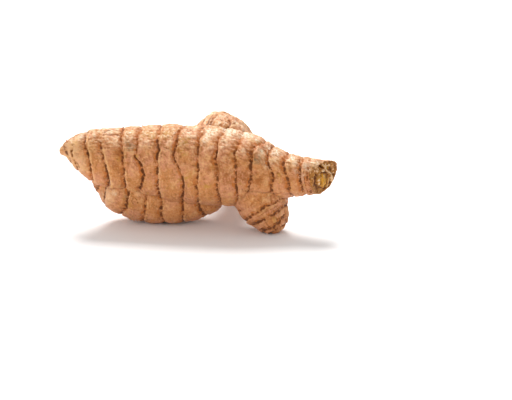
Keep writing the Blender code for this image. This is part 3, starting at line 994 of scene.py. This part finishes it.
def scar_places(forms):
    """Where roots once grew, mostly underneath and behind."""
    rng = np.random.default_rng(SCAR_SEED)
    places = []
    for name, count, low, high in SCARS:
        form = forms[name]
        for _ in range(count):
            distance = rng.uniform(*SCAR_SPAN) * form.length
            places.append((form.spot(distance, rng.uniform(low, high)), rng.uniform(*SCAR_RADIUS)))
    return places


def carve(points, forms):
    """Folds, scars and buds, as a push along the skin, with the painted shade and the painted highlight that each
    makes.
    """
    grain = Grain(CARVE_SEED)
    rough = grain(*(points * 0.9).T)
    push, painted_shade, light = (np.zeros(len(points)) for _ in range(3))
    for depth, width, line in FOLDS:
        share = bell(line_gap(points + 0.25 * rough[:, None], line), width) * (0.9 + 0.5 * rough)
        push -= depth * share
        # Grooves painted darker as painted shade, raised lines lighter as painted highlight
        painted_shade = np.maximum(painted_shade, 1.3 * share * (depth > 0))
        light = np.maximum(light, share * (depth < 0))
    for depth, width, line in DENTS:
        push -= depth * bell(line_gap(points, line), width)
    for place, radius in scar_places(forms):
        gap = np.linalg.norm(points - place, axis=1) / radius
        push += 0.28 * bell(gap - 1.25, 0.4) - 0.40 * bell(gap, 0.75, 4)
        # The pit is painted darker, painted shade, and the rim lighter, painted highlight
        painted_shade = np.maximum(painted_shade, 0.9 * bell(gap, 0.7, 4))
        light = np.maximum(light, 0.7 * bell(gap - 1.3, 0.3))
    for name, distance, degrees, radius, height in BUDS:
        gap = np.linalg.norm(points - forms[name].spot(distance, degrees), axis=1) / radius
        leaves = 0.16 * np.cos(2 * math.pi * (gap * 2.1 + 0.25 * rough)) * smooth(1.5, 0.9, gap)
        push += height * bell(gap, 0.75) + leaves
        # The grooves between the bud's leaves are painted darker: painted shade
        painted_shade = np.maximum(painted_shade, smooth(0.05, 0.16, -leaves) * 0.9)
    return push, painted_shade, light


def build_skin(sizes):
    """The joined, softened and carved skin, with what its finish reads."""
    forms = make_forms()
    items, known, marks = zip(*(Skin(form, sizes).build() for form in forms.values()))
    mesh = join_forms(items)
    points = read(mesh.vertices, "co")
    index, gap = nearest(points, np.vstack(known))
    marks = np.vstack(marks)[index]
    edges = read(mesh.edges, "vertices", 2, np.int32)
    seam = gap > SEAM_GAP
    points = soften(points, edges, grow(seam, edges, SEAM_ROWS))
    move(mesh, points)
    push, painted_shade, light = carve(points / MM, forms)
    points += push[:, None] * read(mesh.vertices, "normal") * MM
    points = inside(points)
    move(mesh, points)

    grain = Grain(PATCH_SEED)
    millimetres = points / MM
    ochre, rust, grey, pale, straw = (
        patch_share(millimetres, patches, grain)
        for patches in (OCHRE_PATCHES, RUST_PATCHES, GREY_PATCHES, PALE_AND_HIGHLIGHT_PATCHES, PAINTED_LIGHT_PATCHES)
    )
    torn = np.minimum(1.7 * marks[:, TORN], 1.0)
    # Pale: the pale patches and the upper-side crests, papery skin with painted highlight
    pale = np.maximum(pale, marks[:, PAPERY_AND_HIGHLIGHT]) * (1 - torn)
    # Seams where the forms join are painted darker: painted shade between the parts
    painted_shade = np.maximum(painted_shade, SEAM_SHADE * grow(seam, edges, 1))
    # Patches painted lighter where more light is wanted: painted light
    light = np.maximum(light, straw * np.clip(0.68 + 0.8 * grain(*(millimetres * 0.8).T), 0, 1))
    store(mesh, "grain", marks[:, GRAIN])
    store(mesh, "ring", marks[:, RING])
    store(mesh, "end", marks[:, END])
    store(mesh, "patch", np.stack([ochre, rust, grey], axis=-1))
    store(mesh, "tone", np.stack([pale, painted_shade, light], axis=-1))
    store(mesh, "remnant", np.stack([torn] * 3, axis=-1))
    mesh.shade_smooth()
    mesh.name = "turmeric_skin"
    return placed("turmeric_skin", mesh)


class Surface:
    """Finds points on the finished skin from a form's middle line."""

    def __init__(self, tree, form):
        self.tree = tree
        self.form = form

    def __call__(self, distance, turn):
        """The outermost skin beyond a middle line, or nothing where another form covers it."""
        middle, heading, out = self.form.axes_at(np.array(distance), np.array(turn))
        radius = self.form.radius_at(distance)
        start = Vector((middle + out * (radius + RAY_START)) * MM)
        place = self.tree.ray_cast(start, -Vector(out), RAY_LENGTH * MM)[0]
        if place is None or abs((Vector(middle * MM) - place).length / MM - radius) > SKIN_MARGIN:
            return None
        return np.array(place) / MM, out, heading


def surfaces(skin):
    """What finds points on the finished skin, for each form by name."""
    tree = BVHTree.FromObject(skin, bpy.context.evaluated_depsgraph_get())
    return {name: Surface(tree, form) for name, form in make_forms().items()}


def build_scales(skin, sizes):
    """Papery remnants of scales that stand along the rings."""
    points, faces, tints = [], [], []
    for surface in surfaces(skin).values():
        form = surface.form
        grain = Grain(form.seed + SCALE_SEED)
        layer = Skin(form, sizes)
        for number in range(len(form.rings)):
            row = layer.ring(number)
            strength = layer.strength(number, 4.0)
            run = []
            for k, turn in enumerate(form.turn):
                x, y = 6 * math.cos(turn), 6 * math.sin(turn)
                cover = grain(0.35 * x, 0.35 * y, 7.7 * number) + 0.25 * strength[k]
                cover += 0.25 * (layer.lip_share(number) - 1)
                station = scale_station(surface, grain, row[k], turn, number) if cover > SCALE_COVER else None
                if station is not None:
                    run.append(station)
                if station is None or k == len(row) - 1:
                    if len(run) > SCALE_STATIONS:
                        add_strip(points, faces, tints, run)
                    run = []
    item = solid("dry_scales", inside(np.array(points) * MM), faces)
    store(item.data, "tint", tints)
    item.data.shade_smooth()
    return item


def scale_station(surface, grain, ring, turn, number):
    """The three points across a scale's edge at one turn, the outward direction and the size."""
    x, y = 20 * math.cos(turn), 20 * math.sin(turn)
    fray = float(grain(x, y, number * 3.1)) + 0.5 * float(grain(2.3 * x, 2.3 * y, number * 3.1))
    size = float(surface.form.share(ring))
    places = []
    for along, lift in ((0.85, -0.10), (0.48, 0.05), (0.16 - 0.45 * fray, 0.13 + 0.14 * fray)):
        found = surface(ring + along * size, turn)
        if found is None:
            return None
        place, out, _ = found
        places.append(place + out * lift * size)
    return np.array(places), out, size


def add_strip(points, faces, tints, run):
    """A thin closed strip through a run of stations, tapered at both ends."""
    first = len(points)
    count = len(run)
    for i, (places, out, size) in enumerate(run):
        taper = min(1.0, (i + 0.3) / SCALE_TAPER, (count - 1 - i + 0.3) / SCALE_TAPER)
        base, bend, edge = places
        bend = base + (bend - base) * (0.3 + 0.7 * taper)
        edge = base + (edge - base) * taper
        under = -SCALE_THICKNESS * size * out
        points.extend((base, bend, edge, edge + under, bend + 1.4 * under, base + 1.4 * under))
        tints.extend((share, 0.0, 0.0) for share in (0.0, 0.5, 1.0, 1.0, 0.5, 0.0))
    add_tube(faces, first, count, 6)


def add_tube(faces, first, rows, sides):
    """Faces of a closed tube over rows of points, from a first point on."""
    faces.extend(tuple(first + k for k in face) for face in tube_faces(rows, sides))
    faces.append(tuple(first + k for k in range(sides)))
    faces.append(tuple(first + sides * (rows - 1) + k for k in reversed(range(sides))))


def build_fibres(skin):
    """Short dry fibres by the rings, and the scale tips that stand on the outline."""
    rng = np.random.default_rng(FIBRE_SEED)
    points, faces = [], []
    finders = surfaces(skin)
    for surface in finders.values():
        form = surface.form
        for _ in range(int(FIBRES * form.length / FIBRE_STRETCH)):
            number = rng.integers(1, len(form.rings))
            turn = math.radians(rng.uniform(*FIBRE_TURNS))
            ring = np.interp(turn, form.turn, form.ring_rows[number])
            found = surface(ring + rng.uniform(*FIBRE_SHIFT), turn)
            length, width = rng.uniform(*FIBRE_LENGTH), rng.uniform(*FIBRE_WIDTH)
            lean, curl = (rng.normal(size=3) * FIBRE_LEAN for _ in range(2))
            if found is not None:
                place, out, heading = found
                add_fibre(points, faces, place, out - 0.5 * heading + lean, curl, length, width)
    for name, distance, degrees, length, width in SCALE_TIPS:
        found = finders[name](distance, math.radians(degrees))
        if found is not None:
            place, out, heading = found
            add_fibre(points, faces, place, out - 0.45 * heading, -0.4 * heading, length, width)
    item = solid("root_fibres", inside(np.array(points) * MM), faces)
    item.data.shade_smooth()
    return item


def add_fibre(points, faces, place, way, curl, length, width):
    """One tapered, bent fibre, rooted a little under the skin."""
    way = way / np.linalg.norm(way)
    side = np.cross(way, (0.3, 0.5, 0.8))
    side /= np.linalg.norm(side)
    other = np.cross(way, side)
    first = len(points)
    for i in range(FIBRE_RINGS):
        t = i / (FIBRE_RINGS - 1)
        middle = place + way * (length * t - FIBRE_SINK) + curl * length * t * t * 0.5
        middle[2] = max(middle[2], width)
        radius = width * (1 - FIBRE_TAPER * t)
        for k in range(FIBRE_SIDES):
            turn = 2 * math.pi * k / FIBRE_SIDES
            points.append(middle + radius * (side * math.cos(turn) + other * math.sin(turn)))
    add_tube(faces, first, FIBRE_RINGS, FIBRE_SIDES)


class Nodes:
    """Short calls for making a material's nodes; a colour may be given by its name in the settings."""

    def __init__(self, name, colours):
        self.material = bpy.data.materials.new(name)
        self.material.use_nodes = True
        self.tree = self.material.node_tree
        self.colours = colours

    def node(self, kind, inputs=None, **settings):
        item = self.tree.nodes.new(kind)
        for key, value in settings.items():
            setattr(item, key, value)
        for key, value in (inputs or {}).items():
            self.feed(item.inputs[key], value)
        return item

    def feed(self, socket, value):
        if isinstance(value, bpy.types.NodeSocket):
            self.tree.links.new(value, socket)
        elif isinstance(value, str):
            socket.default_value = (*getattr(self.colours, value), 1.0)
        else:
            socket.default_value = value

    def finish(self, inputs):
        """The material, with its shader fed."""
        for key, value in inputs.items():
            self.feed(self.tree.nodes["Principled BSDF"].inputs[key], value)
        return self.material

    def attribute(self, name):
        return self.node("ShaderNodeAttribute", attribute_name=name).outputs["Vector"]

    def object_place(self):
        return self.node("ShaderNodeTexCoord").outputs["Object"]

    def math(self, operation, a, b=0.0, c=0.0):
        return self.node("ShaderNodeMath", {0: a, 1: b, 2: c}, operation=operation).outputs[0]

    def times(self, a, b):
        return self.math("MULTIPLY", a, b)

    def most(self, a, b):
        return self.math("MAXIMUM", a, b)

    def parts(self, name):
        """The three values that the mesh keeps under a name."""
        return self.node("ShaderNodeSeparateXYZ", {0: self.attribute(name)}).outputs[:]

    def scaled(self, vector, factors):
        return self.node("ShaderNodeVectorMath", {0: vector, 1: factors}, operation="MULTIPLY").outputs[0]

    def noise(self, vector, scale, detail=3.0, rough=0.55, distortion=0.0):
        inputs = {"Vector": vector, "Scale": scale, "Detail": detail, "Roughness": rough, "Distortion": distortion}
        return self.node("ShaderNodeTexNoise", inputs).outputs["Fac"]

    def between(self, value, low, high, first=0.0, second=1.0):
        """From first to second, eased, while a value goes from low to high."""
        inputs = {"Value": value, "From Min": low, "From Max": high, "To Min": first, "To Max": second}
        return self.node("ShaderNodeMapRange", inputs, interpolation_type="SMOOTHSTEP").outputs["Result"]

    def mix(self, factor, first, second):
        inputs = {0: factor, 6: first, 7: second}
        return self.node("ShaderNodeMix", inputs, data_type="RGBA", blend_type="MIX").outputs[2]

    def layers(self, tint, rows):
        """A tint with colours over it: for each, a value, its range, the share at most and the colour."""
        for value, low, high, share, over in rows:
            tint = self.mix(self.between(value, low, high, 0.0, share), tint, over)
        return tint

    def bump(self, height, distance, strength=1.0, before=None):
        inputs = {"Height": height, "Distance": distance, "Strength": strength}
        if before is not None:
            inputs["Normal"] = before
        return self.node("ShaderNodeBump", inputs).outputs["Normal"]


def skin_material(colours):
    nodes = Nodes("turmeric_skin", colours)
    times, most, between, mix = nodes.times, nodes.most, nodes.between, nodes.mix
    grain = nodes.attribute("grain")
    near, deep, ragged = nodes.parts("ring")
    flesh, dry, relief_shading = nodes.parts("end")
    ochre, rust, grey = nodes.parts("patch")
    pale, painted_shade, light = nodes.parts("tone")
    remnant = nodes.parts("remnant")[0]
    along = nodes.scaled(grain, (0.22, 1.0, 1.0))
    round_about = nodes.scaled(grain, (1.0, 0.22, 0.22))

    def spots(mask, scale, detail, low, high, least=0.0):
        """A mask broken up into ragged spots."""
        return times(mask, between(nodes.noise(grain, scale, detail, 0.7), low, high, least, 1.0))

    # The skin between the rings
    cloud = nodes.noise(grain, 0.45, 5.0, 0.65, 0.5)
    streak = nodes.noise(along, 1.1, 6.0, 0.68, 0.6)
    scratch = nodes.noise(round_about, 1.2, 5.0, 0.7, 0.5)
    speck = nodes.noise(grain, 1.35, 6.0, 0.75)
    tint = mix(between(nodes.noise(grain, 0.14, 4.0, 0.6), 0.38, 0.62), "tan", "pink")
    # Brown in the wrinkle hollows is painted shade, and straw on their crests is painted highlight
    tint = nodes.layers(tint, (
        (cloud, 0.50, 0.70, 0.60, "brown"), (cloud, 0.48, 0.30, 0.50, "straw"),
        (streak, 0.53, 0.68, 0.22, "straw"), (streak, 0.47, 0.32, 0.22, "brown"),
        (scratch, 0.54, 0.68, 0.60, "brown"), (scratch, 0.44, 0.32, 0.50, "straw"),
        (speck, 0.55, 0.68, 0.80, "rust"), (speck, 0.44, 0.34, 0.70, "straw"),
        (relief_shading, 0.10, 0.80, 0.65, "brown"), (relief_shading, -0.15, -0.80, 0.45, "straw"),
    ))

    # Patches of other tones
    yellow = most(between(nodes.noise(grain, 0.26, 5.0, 0.65, 0.6), 0.58, 0.68), ochre)
    tint = mix(times(spots(yellow, 1.1, 4.0, 0.36, 0.58), 0.7), tint, "ochre")
    tint = mix(times(spots(grey, 1.1, 5.0, 0.3, 0.60), 0.8), tint, "grey")
    # Rust: the skin's own rusty spots, and broad painted shade on the front of the body
    tint = mix(times(spots(rust, 1.2, 4.0, 0.32, 0.56), 0.85), tint, "rust")
    # Pale and papery skin with painted highlight on the upper side and its crests, mixed to cream
    papery_and_highlight = spots(pale, 1.4, 4.0, 0.36, 0.60, 0.15)
    tint = mix(papery_and_highlight, tint, "cream")
    # The brightest share of the pale gets a white that is painted highlight
    tint = nodes.layers(tint, ((papery_and_highlight, 0.70, 1.0, 0.7, "highlight_white"),))

    # The ring creases, their edges and the torn remnants of scales
    jag = nodes.noise(grain, 1.1, 5.0, 0.7)
    place = nodes.math("MULTIPLY_ADD", jag, 1.3, nodes.math("ADD", near, -0.65))
    deep = times(deep, between(nodes.noise(grain, 0.75, 3.0, 0.65), 0.38, 0.62, 0.20, 1.55))
    broad = between(nodes.noise(grain, 0.5, 4.0), 0.38, 0.60, 0.45, 1.3)
    # The flank that slopes into each crease is painted rust and ember: partly the ring's own rusty edge, partly
    # painted shade
    halo = times(between(place, -2.0, -0.65), between(place, 0.50, 0.05))
    halo = times(halo, times(deep, broad))
    edge = mix(between(broad, 0.55, 1.15), "rust", "ember")
    tint = mix(nodes.math("MINIMUM", times(halo, 0.95), 0.92), tint, edge)
    torn = times(ragged, between(nodes.noise(grain, 0.6, 4.0, 0.65), 0.35, 0.62, 0.3, 1.4))
    lip = times(between(place, 0.15, 0.35), between(place, 1.15, 0.60))
    # The light scale edges are their own colour; the painted highlight of raised lines and scar rims and the painted
    # light of the lit patches are added to them
    lip = most(times(lip, between(torn, 0.45, 1.4)), light)
    tint = mix(times(lip, 0.60), tint, "straw")
    # The crease line: the ring scar's own brown deepened by painted shade, with the painted shade of folds, pits and
    # seams added
    core = times(between(place, -1.0, -0.3), between(place, 0.45, 0.05))
    core = most(times(core, deep), painted_shade)
    tint = nodes.layers(tint, ((core, 0.12, 0.90, 0.95, "rust"), (core, 0.45, 1.15, 0.90, "crease")))
    tint = mix(times(spots(remnant, 1.0, 4.0, 0.38, 0.56), 0.85), tint, "ember")

    # The broken end
    strand = nodes.noise(nodes.scaled(grain, (1.0, 1.6, 0.45)), 1.8, 6.0, 0.72)
    raw = mix(between(strand, 0.47, 0.60, 0.0, 0.85), "flesh", "dry")
    worn = mix(between(strand, 0.40, 0.60), "husk", "dry")
    worn = nodes.layers(worn, ((strand, 0.58, 0.68, 0.4, "straw"),))
    tint = mix(flesh, mix(dry, tint, worn), raw)
    broken = nodes.math("MINIMUM", nodes.math("ADD", dry, flesh), 1.0)
    fibre = mix(between(strand, 0.40, 0.62), "straw", "cream")
    # The grooves of the broken end get the crease colour as painted shade, and its raised lines the light fibre
    # colour as painted highlight
    for low, high, share, on_flesh, over in ((0.15, 0.75, 0.95, 0.45, "crease"), (-0.3, -1.0, 0.88, 0.35, fibre)):
        shown = times(broken, between(relief_shading, low, high, 0.0, share))
        tint = mix(times(shown, between(flesh, 0.3, 1.0, 1.0, on_flesh)), tint, over)

    normal = nodes.bump(nodes.noise(grain, 1.5, 6.0, 0.68, 0.5), 0.00045, 0.9)
    normal = nodes.bump(nodes.noise(round_about, 2.2, 5.0, 0.7, 0.4), 0.00022, 0.8, normal)
    normal = nodes.bump(speck, 0.00040, 0.8, normal)
    normal = nodes.bump(nodes.noise(grain, 4.5, 4.0, 0.65), 0.00012, 0.7, normal)
    return nodes.finish({
        "Base Color": tint,
        "Roughness": between(speck, 0.3, 0.7, 0.44, 0.56),
        "Subsurface Weight": 0.08,
        "Subsurface Radius": (1.0, 0.45, 0.2),
        "Subsurface Scale": 0.001,
        "Specular IOR Level": 0.45,
        "Specular Tint": (1.0, 0.78, 0.58, 1.0),
        "Sheen Weight": 0.05,
        "Sheen Roughness": 0.4,
        "Sheen Tint": (1.0, 0.93, 0.86, 1.0),
        "Normal": normal,
    })


def scale_material(colours):
    nodes = Nodes("dry_scale", colours)
    share = nodes.parts("tint")[0]
    vein = nodes.noise(nodes.object_place(), SCALE_VEIN, 5.0, 0.7)
    tint = nodes.mix(nodes.between(vein, 0.36, 0.58), "straw", "tan")
    tint = nodes.layers(tint, ((share, 0.7, 0.1, 0.85, "tan"),))
    browned = nodes.times(nodes.between(vein, 0.5, 0.66), nodes.between(share, 0.3, 1.0, 0.2, 0.8))
    tint = nodes.mix(browned, tint, "rust")
    normal = nodes.bump(vein, 0.00012, 0.7)
    return nodes.finish({"Base Color": tint, "Roughness": 0.62, "Sheen Weight": 0.2, "Normal": normal})


def fibre_material(colours):
    nodes = Nodes("root_fibre", colours)
    vein = nodes.noise(nodes.object_place(), FIBRE_VEIN, 4.0, 0.7)
    return nodes.finish({"Base Color": nodes.mix(nodes.between(vein, 0.35, 0.65), "brown", "tan"), "Roughness": 0.75})


def dress(item, material):
    item.data.materials.clear()
    item.data.materials.append(material)
    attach(item, BODY)


def soft_light(name, place, target, size, power):
    data = bpy.data.lights.new(name, "AREA")
    data.shape = "DISK"
    data.size = size
    data.energy = power
    item = placed(name, data)
    item.location = place
    item.rotation_euler = (Vector(target) - Vector(place)).to_track_quat("-Z", "Y").to_euler()


def make_floor(settings):
    shape = bmesh.new()
    bmesh.ops.create_grid(shape, x_segments=1, y_segments=1, size=FLOOR_REACH)
    mesh = bpy.data.meshes.new("floor")
    shape.to_mesh(mesh)
    shape.free()
    finish = {"Base Color": "floor", "Roughness": 0.6, "Specular IOR Level": 0.2}
    mesh.materials.append(Nodes("studio_floor", settings).finish(finish))
    placed("floor", mesh)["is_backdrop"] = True


def make_surround(settings):
    world = bpy.data.worlds.new("surround")
    world.use_nodes = True
    background = world.node_tree.nodes["Background"]
    background.inputs["Color"].default_value = (1.0, 1.0, 1.0, 1.0)
    background.inputs["Strength"].default_value = settings.surround
    bpy.context.scene.world = world


def make_camera():
    data = bpy.data.cameras.new("camera")
    data.lens = LENS
    data.sensor_width = SENSOR
    data.clip_start = CLIP_START
    distance = LENS / SENSOR * IMAGE_WIDTH / PIXELS_PER_MM
    height = (FLOOR_LINE - IMAGE_HEIGHT / 2) / PIXELS_PER_MM / math.cos(VIEW_TILT)
    aim = Vector((VIEW_MIDDLE[0], VIEW_MIDDLE[1], height)) * MM
    view = Vector((0.0, math.cos(VIEW_TILT), -math.sin(VIEW_TILT)))
    item = placed("camera", data)
    item.location = aim - view * distance * MM
    item.rotation_euler = (math.pi / 2 - VIEW_TILT, 0.0, 0.0)
    bpy.context.scene.camera = item


def size_property(name, description, default, most):
    return FloatProperty(
        name=name, description=description, default=default, min=0.0, max=most, precision=5, unit="LENGTH"
    )


def tint_property(name, description, default):
    return FloatVectorProperty(
        name=name, description=description, subtype="COLOR", size=3, min=0.0, max=1.0, default=default
    )


def power_property(name, description, default):
    return FloatProperty(name=name, description=description, default=default, min=0.0, unit="POWER")


class SkinSizes(bpy.types.PropertyGroup):
    """Heights and depths of the skin's relief"""

    crease_depth: size_property("Crease depth", "How deep the ring creases are cut", 0.00055, 0.002)
    lip_height: size_property("Lip height", "How far the raised edge of each scale stands out", 0.00026, 0.002)
    band_swell: size_property("Band swell", "How far the skin bulges between two rings", 0.00020, 0.002)
    wrinkle_height: size_property("Wrinkle height", "Height of the wrinkles along the root", 0.00023, 0.001)
    pebble_height: size_property("Unevenness", "Height of the small unevenness all over the skin", 0.00016, 0.001)
    ring_jag: FloatProperty(
        name="Ring raggedness",
        description="How far the rings stray from a smooth course",
        default=1.0,
        min=0.0,
        max=3.0,
        subtype="FACTOR",
    )


class SkinColours(bpy.types.PropertyGroup):
    """Colours of the skin and of the broken end"""

    tan: tint_property("Tan", "Main tone of the skin", (0.625, 0.245, 0.077))
    pink: tint_property("Pink", "Pinker patches of the skin", (0.68, 0.283, 0.143))
    straw: tint_property("Straw", "Dry light streaks and scale edges", (0.87, 0.51, 0.22))
    # Cream is papery skin with painted highlight, on the upper side and on the ridges of the broken end
    cream: tint_property("Cream", "Papery ridges and pale spots", (0.93, 0.71, 0.47))
    # This white is painted highlight on the brightest pale crests of the upper side
    highlight_white: tint_property("Chalk", "The whitest flecks on the upper side", (0.97, 0.82, 0.67))
    ember: tint_property("Ember", "Torn orange-brown remnants of scales", (0.52, 0.148, 0.022))
    brown: tint_property("Brown", "Brown streaks and hollows", (0.37, 0.120, 0.028))
    ochre: tint_property("Ochre", "Yellow patches where the flesh shows through", (0.56, 0.28, 0.045))
    grey: tint_property("Grey", "Weathered grey patches", (0.26, 0.165, 0.080))
    # Rust and crease colour the ring creases: their own brown, deepened as painted shade on the flanks and in the
    # creases
    rust: tint_property("Rust", "Edges of the ring creases", (0.36, 0.105, 0.016))
    crease: tint_property("Crease", "Depth of the ring creases", (0.145, 0.042, 0.008))
    flesh: tint_property("Flesh", "Flesh on the broken end", (0.68, 0.31, 0.006))
    dry: tint_property("Dry flesh", "Brown fibres on the broken end", (0.50, 0.20, 0.032))
    husk: tint_property("Husk", "Weathered brown of the broken end", (0.27, 0.097, 0.015))


class StageSettings(bpy.types.PropertyGroup):
    """Floor and lights"""

    floor: tint_property("Floor", "Tone of the plain floor", (0.90, 0.89, 0.885))
    key_power: power_property("Top light", "Power of the large soft light above and behind", 11.0)
    fill_power: power_property("Front light", "Power of the soft light in front", 2.2)
    surround: FloatProperty(
        name="Surround", description="Strength of the even light all round", default=0.68, min=0.0, max=4.0
    )


class TURMERIC_OT_skin(bpy.types.Operator):
    """Build the ringed skin of the root with its finish"""

    bl_idname = "turmeric.skin"
    bl_label = "Ringed skin"

    def execute(self, context):
        item = build_skin(context.scene.turmeric_sizes)
        dress(item, skin_material(context.scene.turmeric_colours))
        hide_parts(NODE)
        return {"FINISHED"}


class TURMERIC_OT_scales(bpy.types.Operator):
    """Build the papery remnants of scales along the rings"""

    bl_idname = "turmeric.scales"
    bl_label = "Dry scales"

    def execute(self, context):
        item = build_scales(bpy.data.objects["turmeric_skin"], context.scene.turmeric_sizes)
        dress(item, scale_material(context.scene.turmeric_colours))
        return {"FINISHED"}


class TURMERIC_OT_fibres(bpy.types.Operator):
    """Build the short dry fibres"""

    bl_idname = "turmeric.fibres"
    bl_label = "Root fibres"

    def execute(self, context):
        item = build_fibres(bpy.data.objects["turmeric_skin"])
        dress(item, fibre_material(context.scene.turmeric_colours))
        return {"FINISHED"}


class TURMERIC_OT_stage(bpy.types.Operator):
    """Set the plain floor, the soft lights and the camera"""

    bl_idname = "turmeric.stage"
    bl_label = "Studio"

    def execute(self, context):
        settings = context.scene.turmeric_stage
        make_floor(settings)
        soft_light("top_light", *TOP_LIGHT, settings.key_power)
        soft_light("front_light", *FRONT_LIGHT, settings.fill_power)
        make_surround(settings)
        context.scene.view_settings.view_transform = "Standard"
        make_camera()
        return {"FINISHED"}


class TURMERIC_PT_panel(bpy.types.Panel):
    """Lists the pieces of the turmeric root"""

    bl_label = "Turmeric Root"
    bl_idname = "TURMERIC_PT_panel"
    bl_space_type = "VIEW_3D"
    bl_region_type = "UI"
    bl_category = "Turmeric"

    def draw(self, context):
        for name in GROUPS:
            group = getattr(context.scene, name)
            box = self.layout.box()
            for key in group.__annotations__:
                box.prop(group, key)
        for operator in OPERATORS:
            self.layout.operator(operator.bl_idname)


OPERATORS = (TURMERIC_OT_skin, TURMERIC_OT_scales, TURMERIC_OT_fibres, TURMERIC_OT_stage)
GROUPS = {"turmeric_sizes": SkinSizes, "turmeric_colours": SkinColours, "turmeric_stage": StageSettings}


def register():
    for item in (*GROUPS.values(), *OPERATORS, TURMERIC_PT_panel):
        bpy.utils.register_class(item)
    for name, group in GROUPS.items():
        setattr(bpy.types.Scene, name, PointerProperty(type=group))


def unregister():
    for name in GROUPS:
        delattr(bpy.types.Scene, name)
    for item in (TURMERIC_PT_panel, *reversed(OPERATORS), *reversed(GROUPS.values())):
        bpy.utils.unregister_class(item)


def main():
    register()
    bpy.ops.turmeric.skin()
    bpy.ops.turmeric.scales()
    bpy.ops.turmeric.fibres()
    bpy.ops.turmeric.stage()
    bounds = {"cad": plain(CAD_BOUNDS), "visual": plain(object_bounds())}


def plain(bounds):
    return [[float(value) for value in corner] for corner in bounds]


if __name__ == "__main__":
    main()
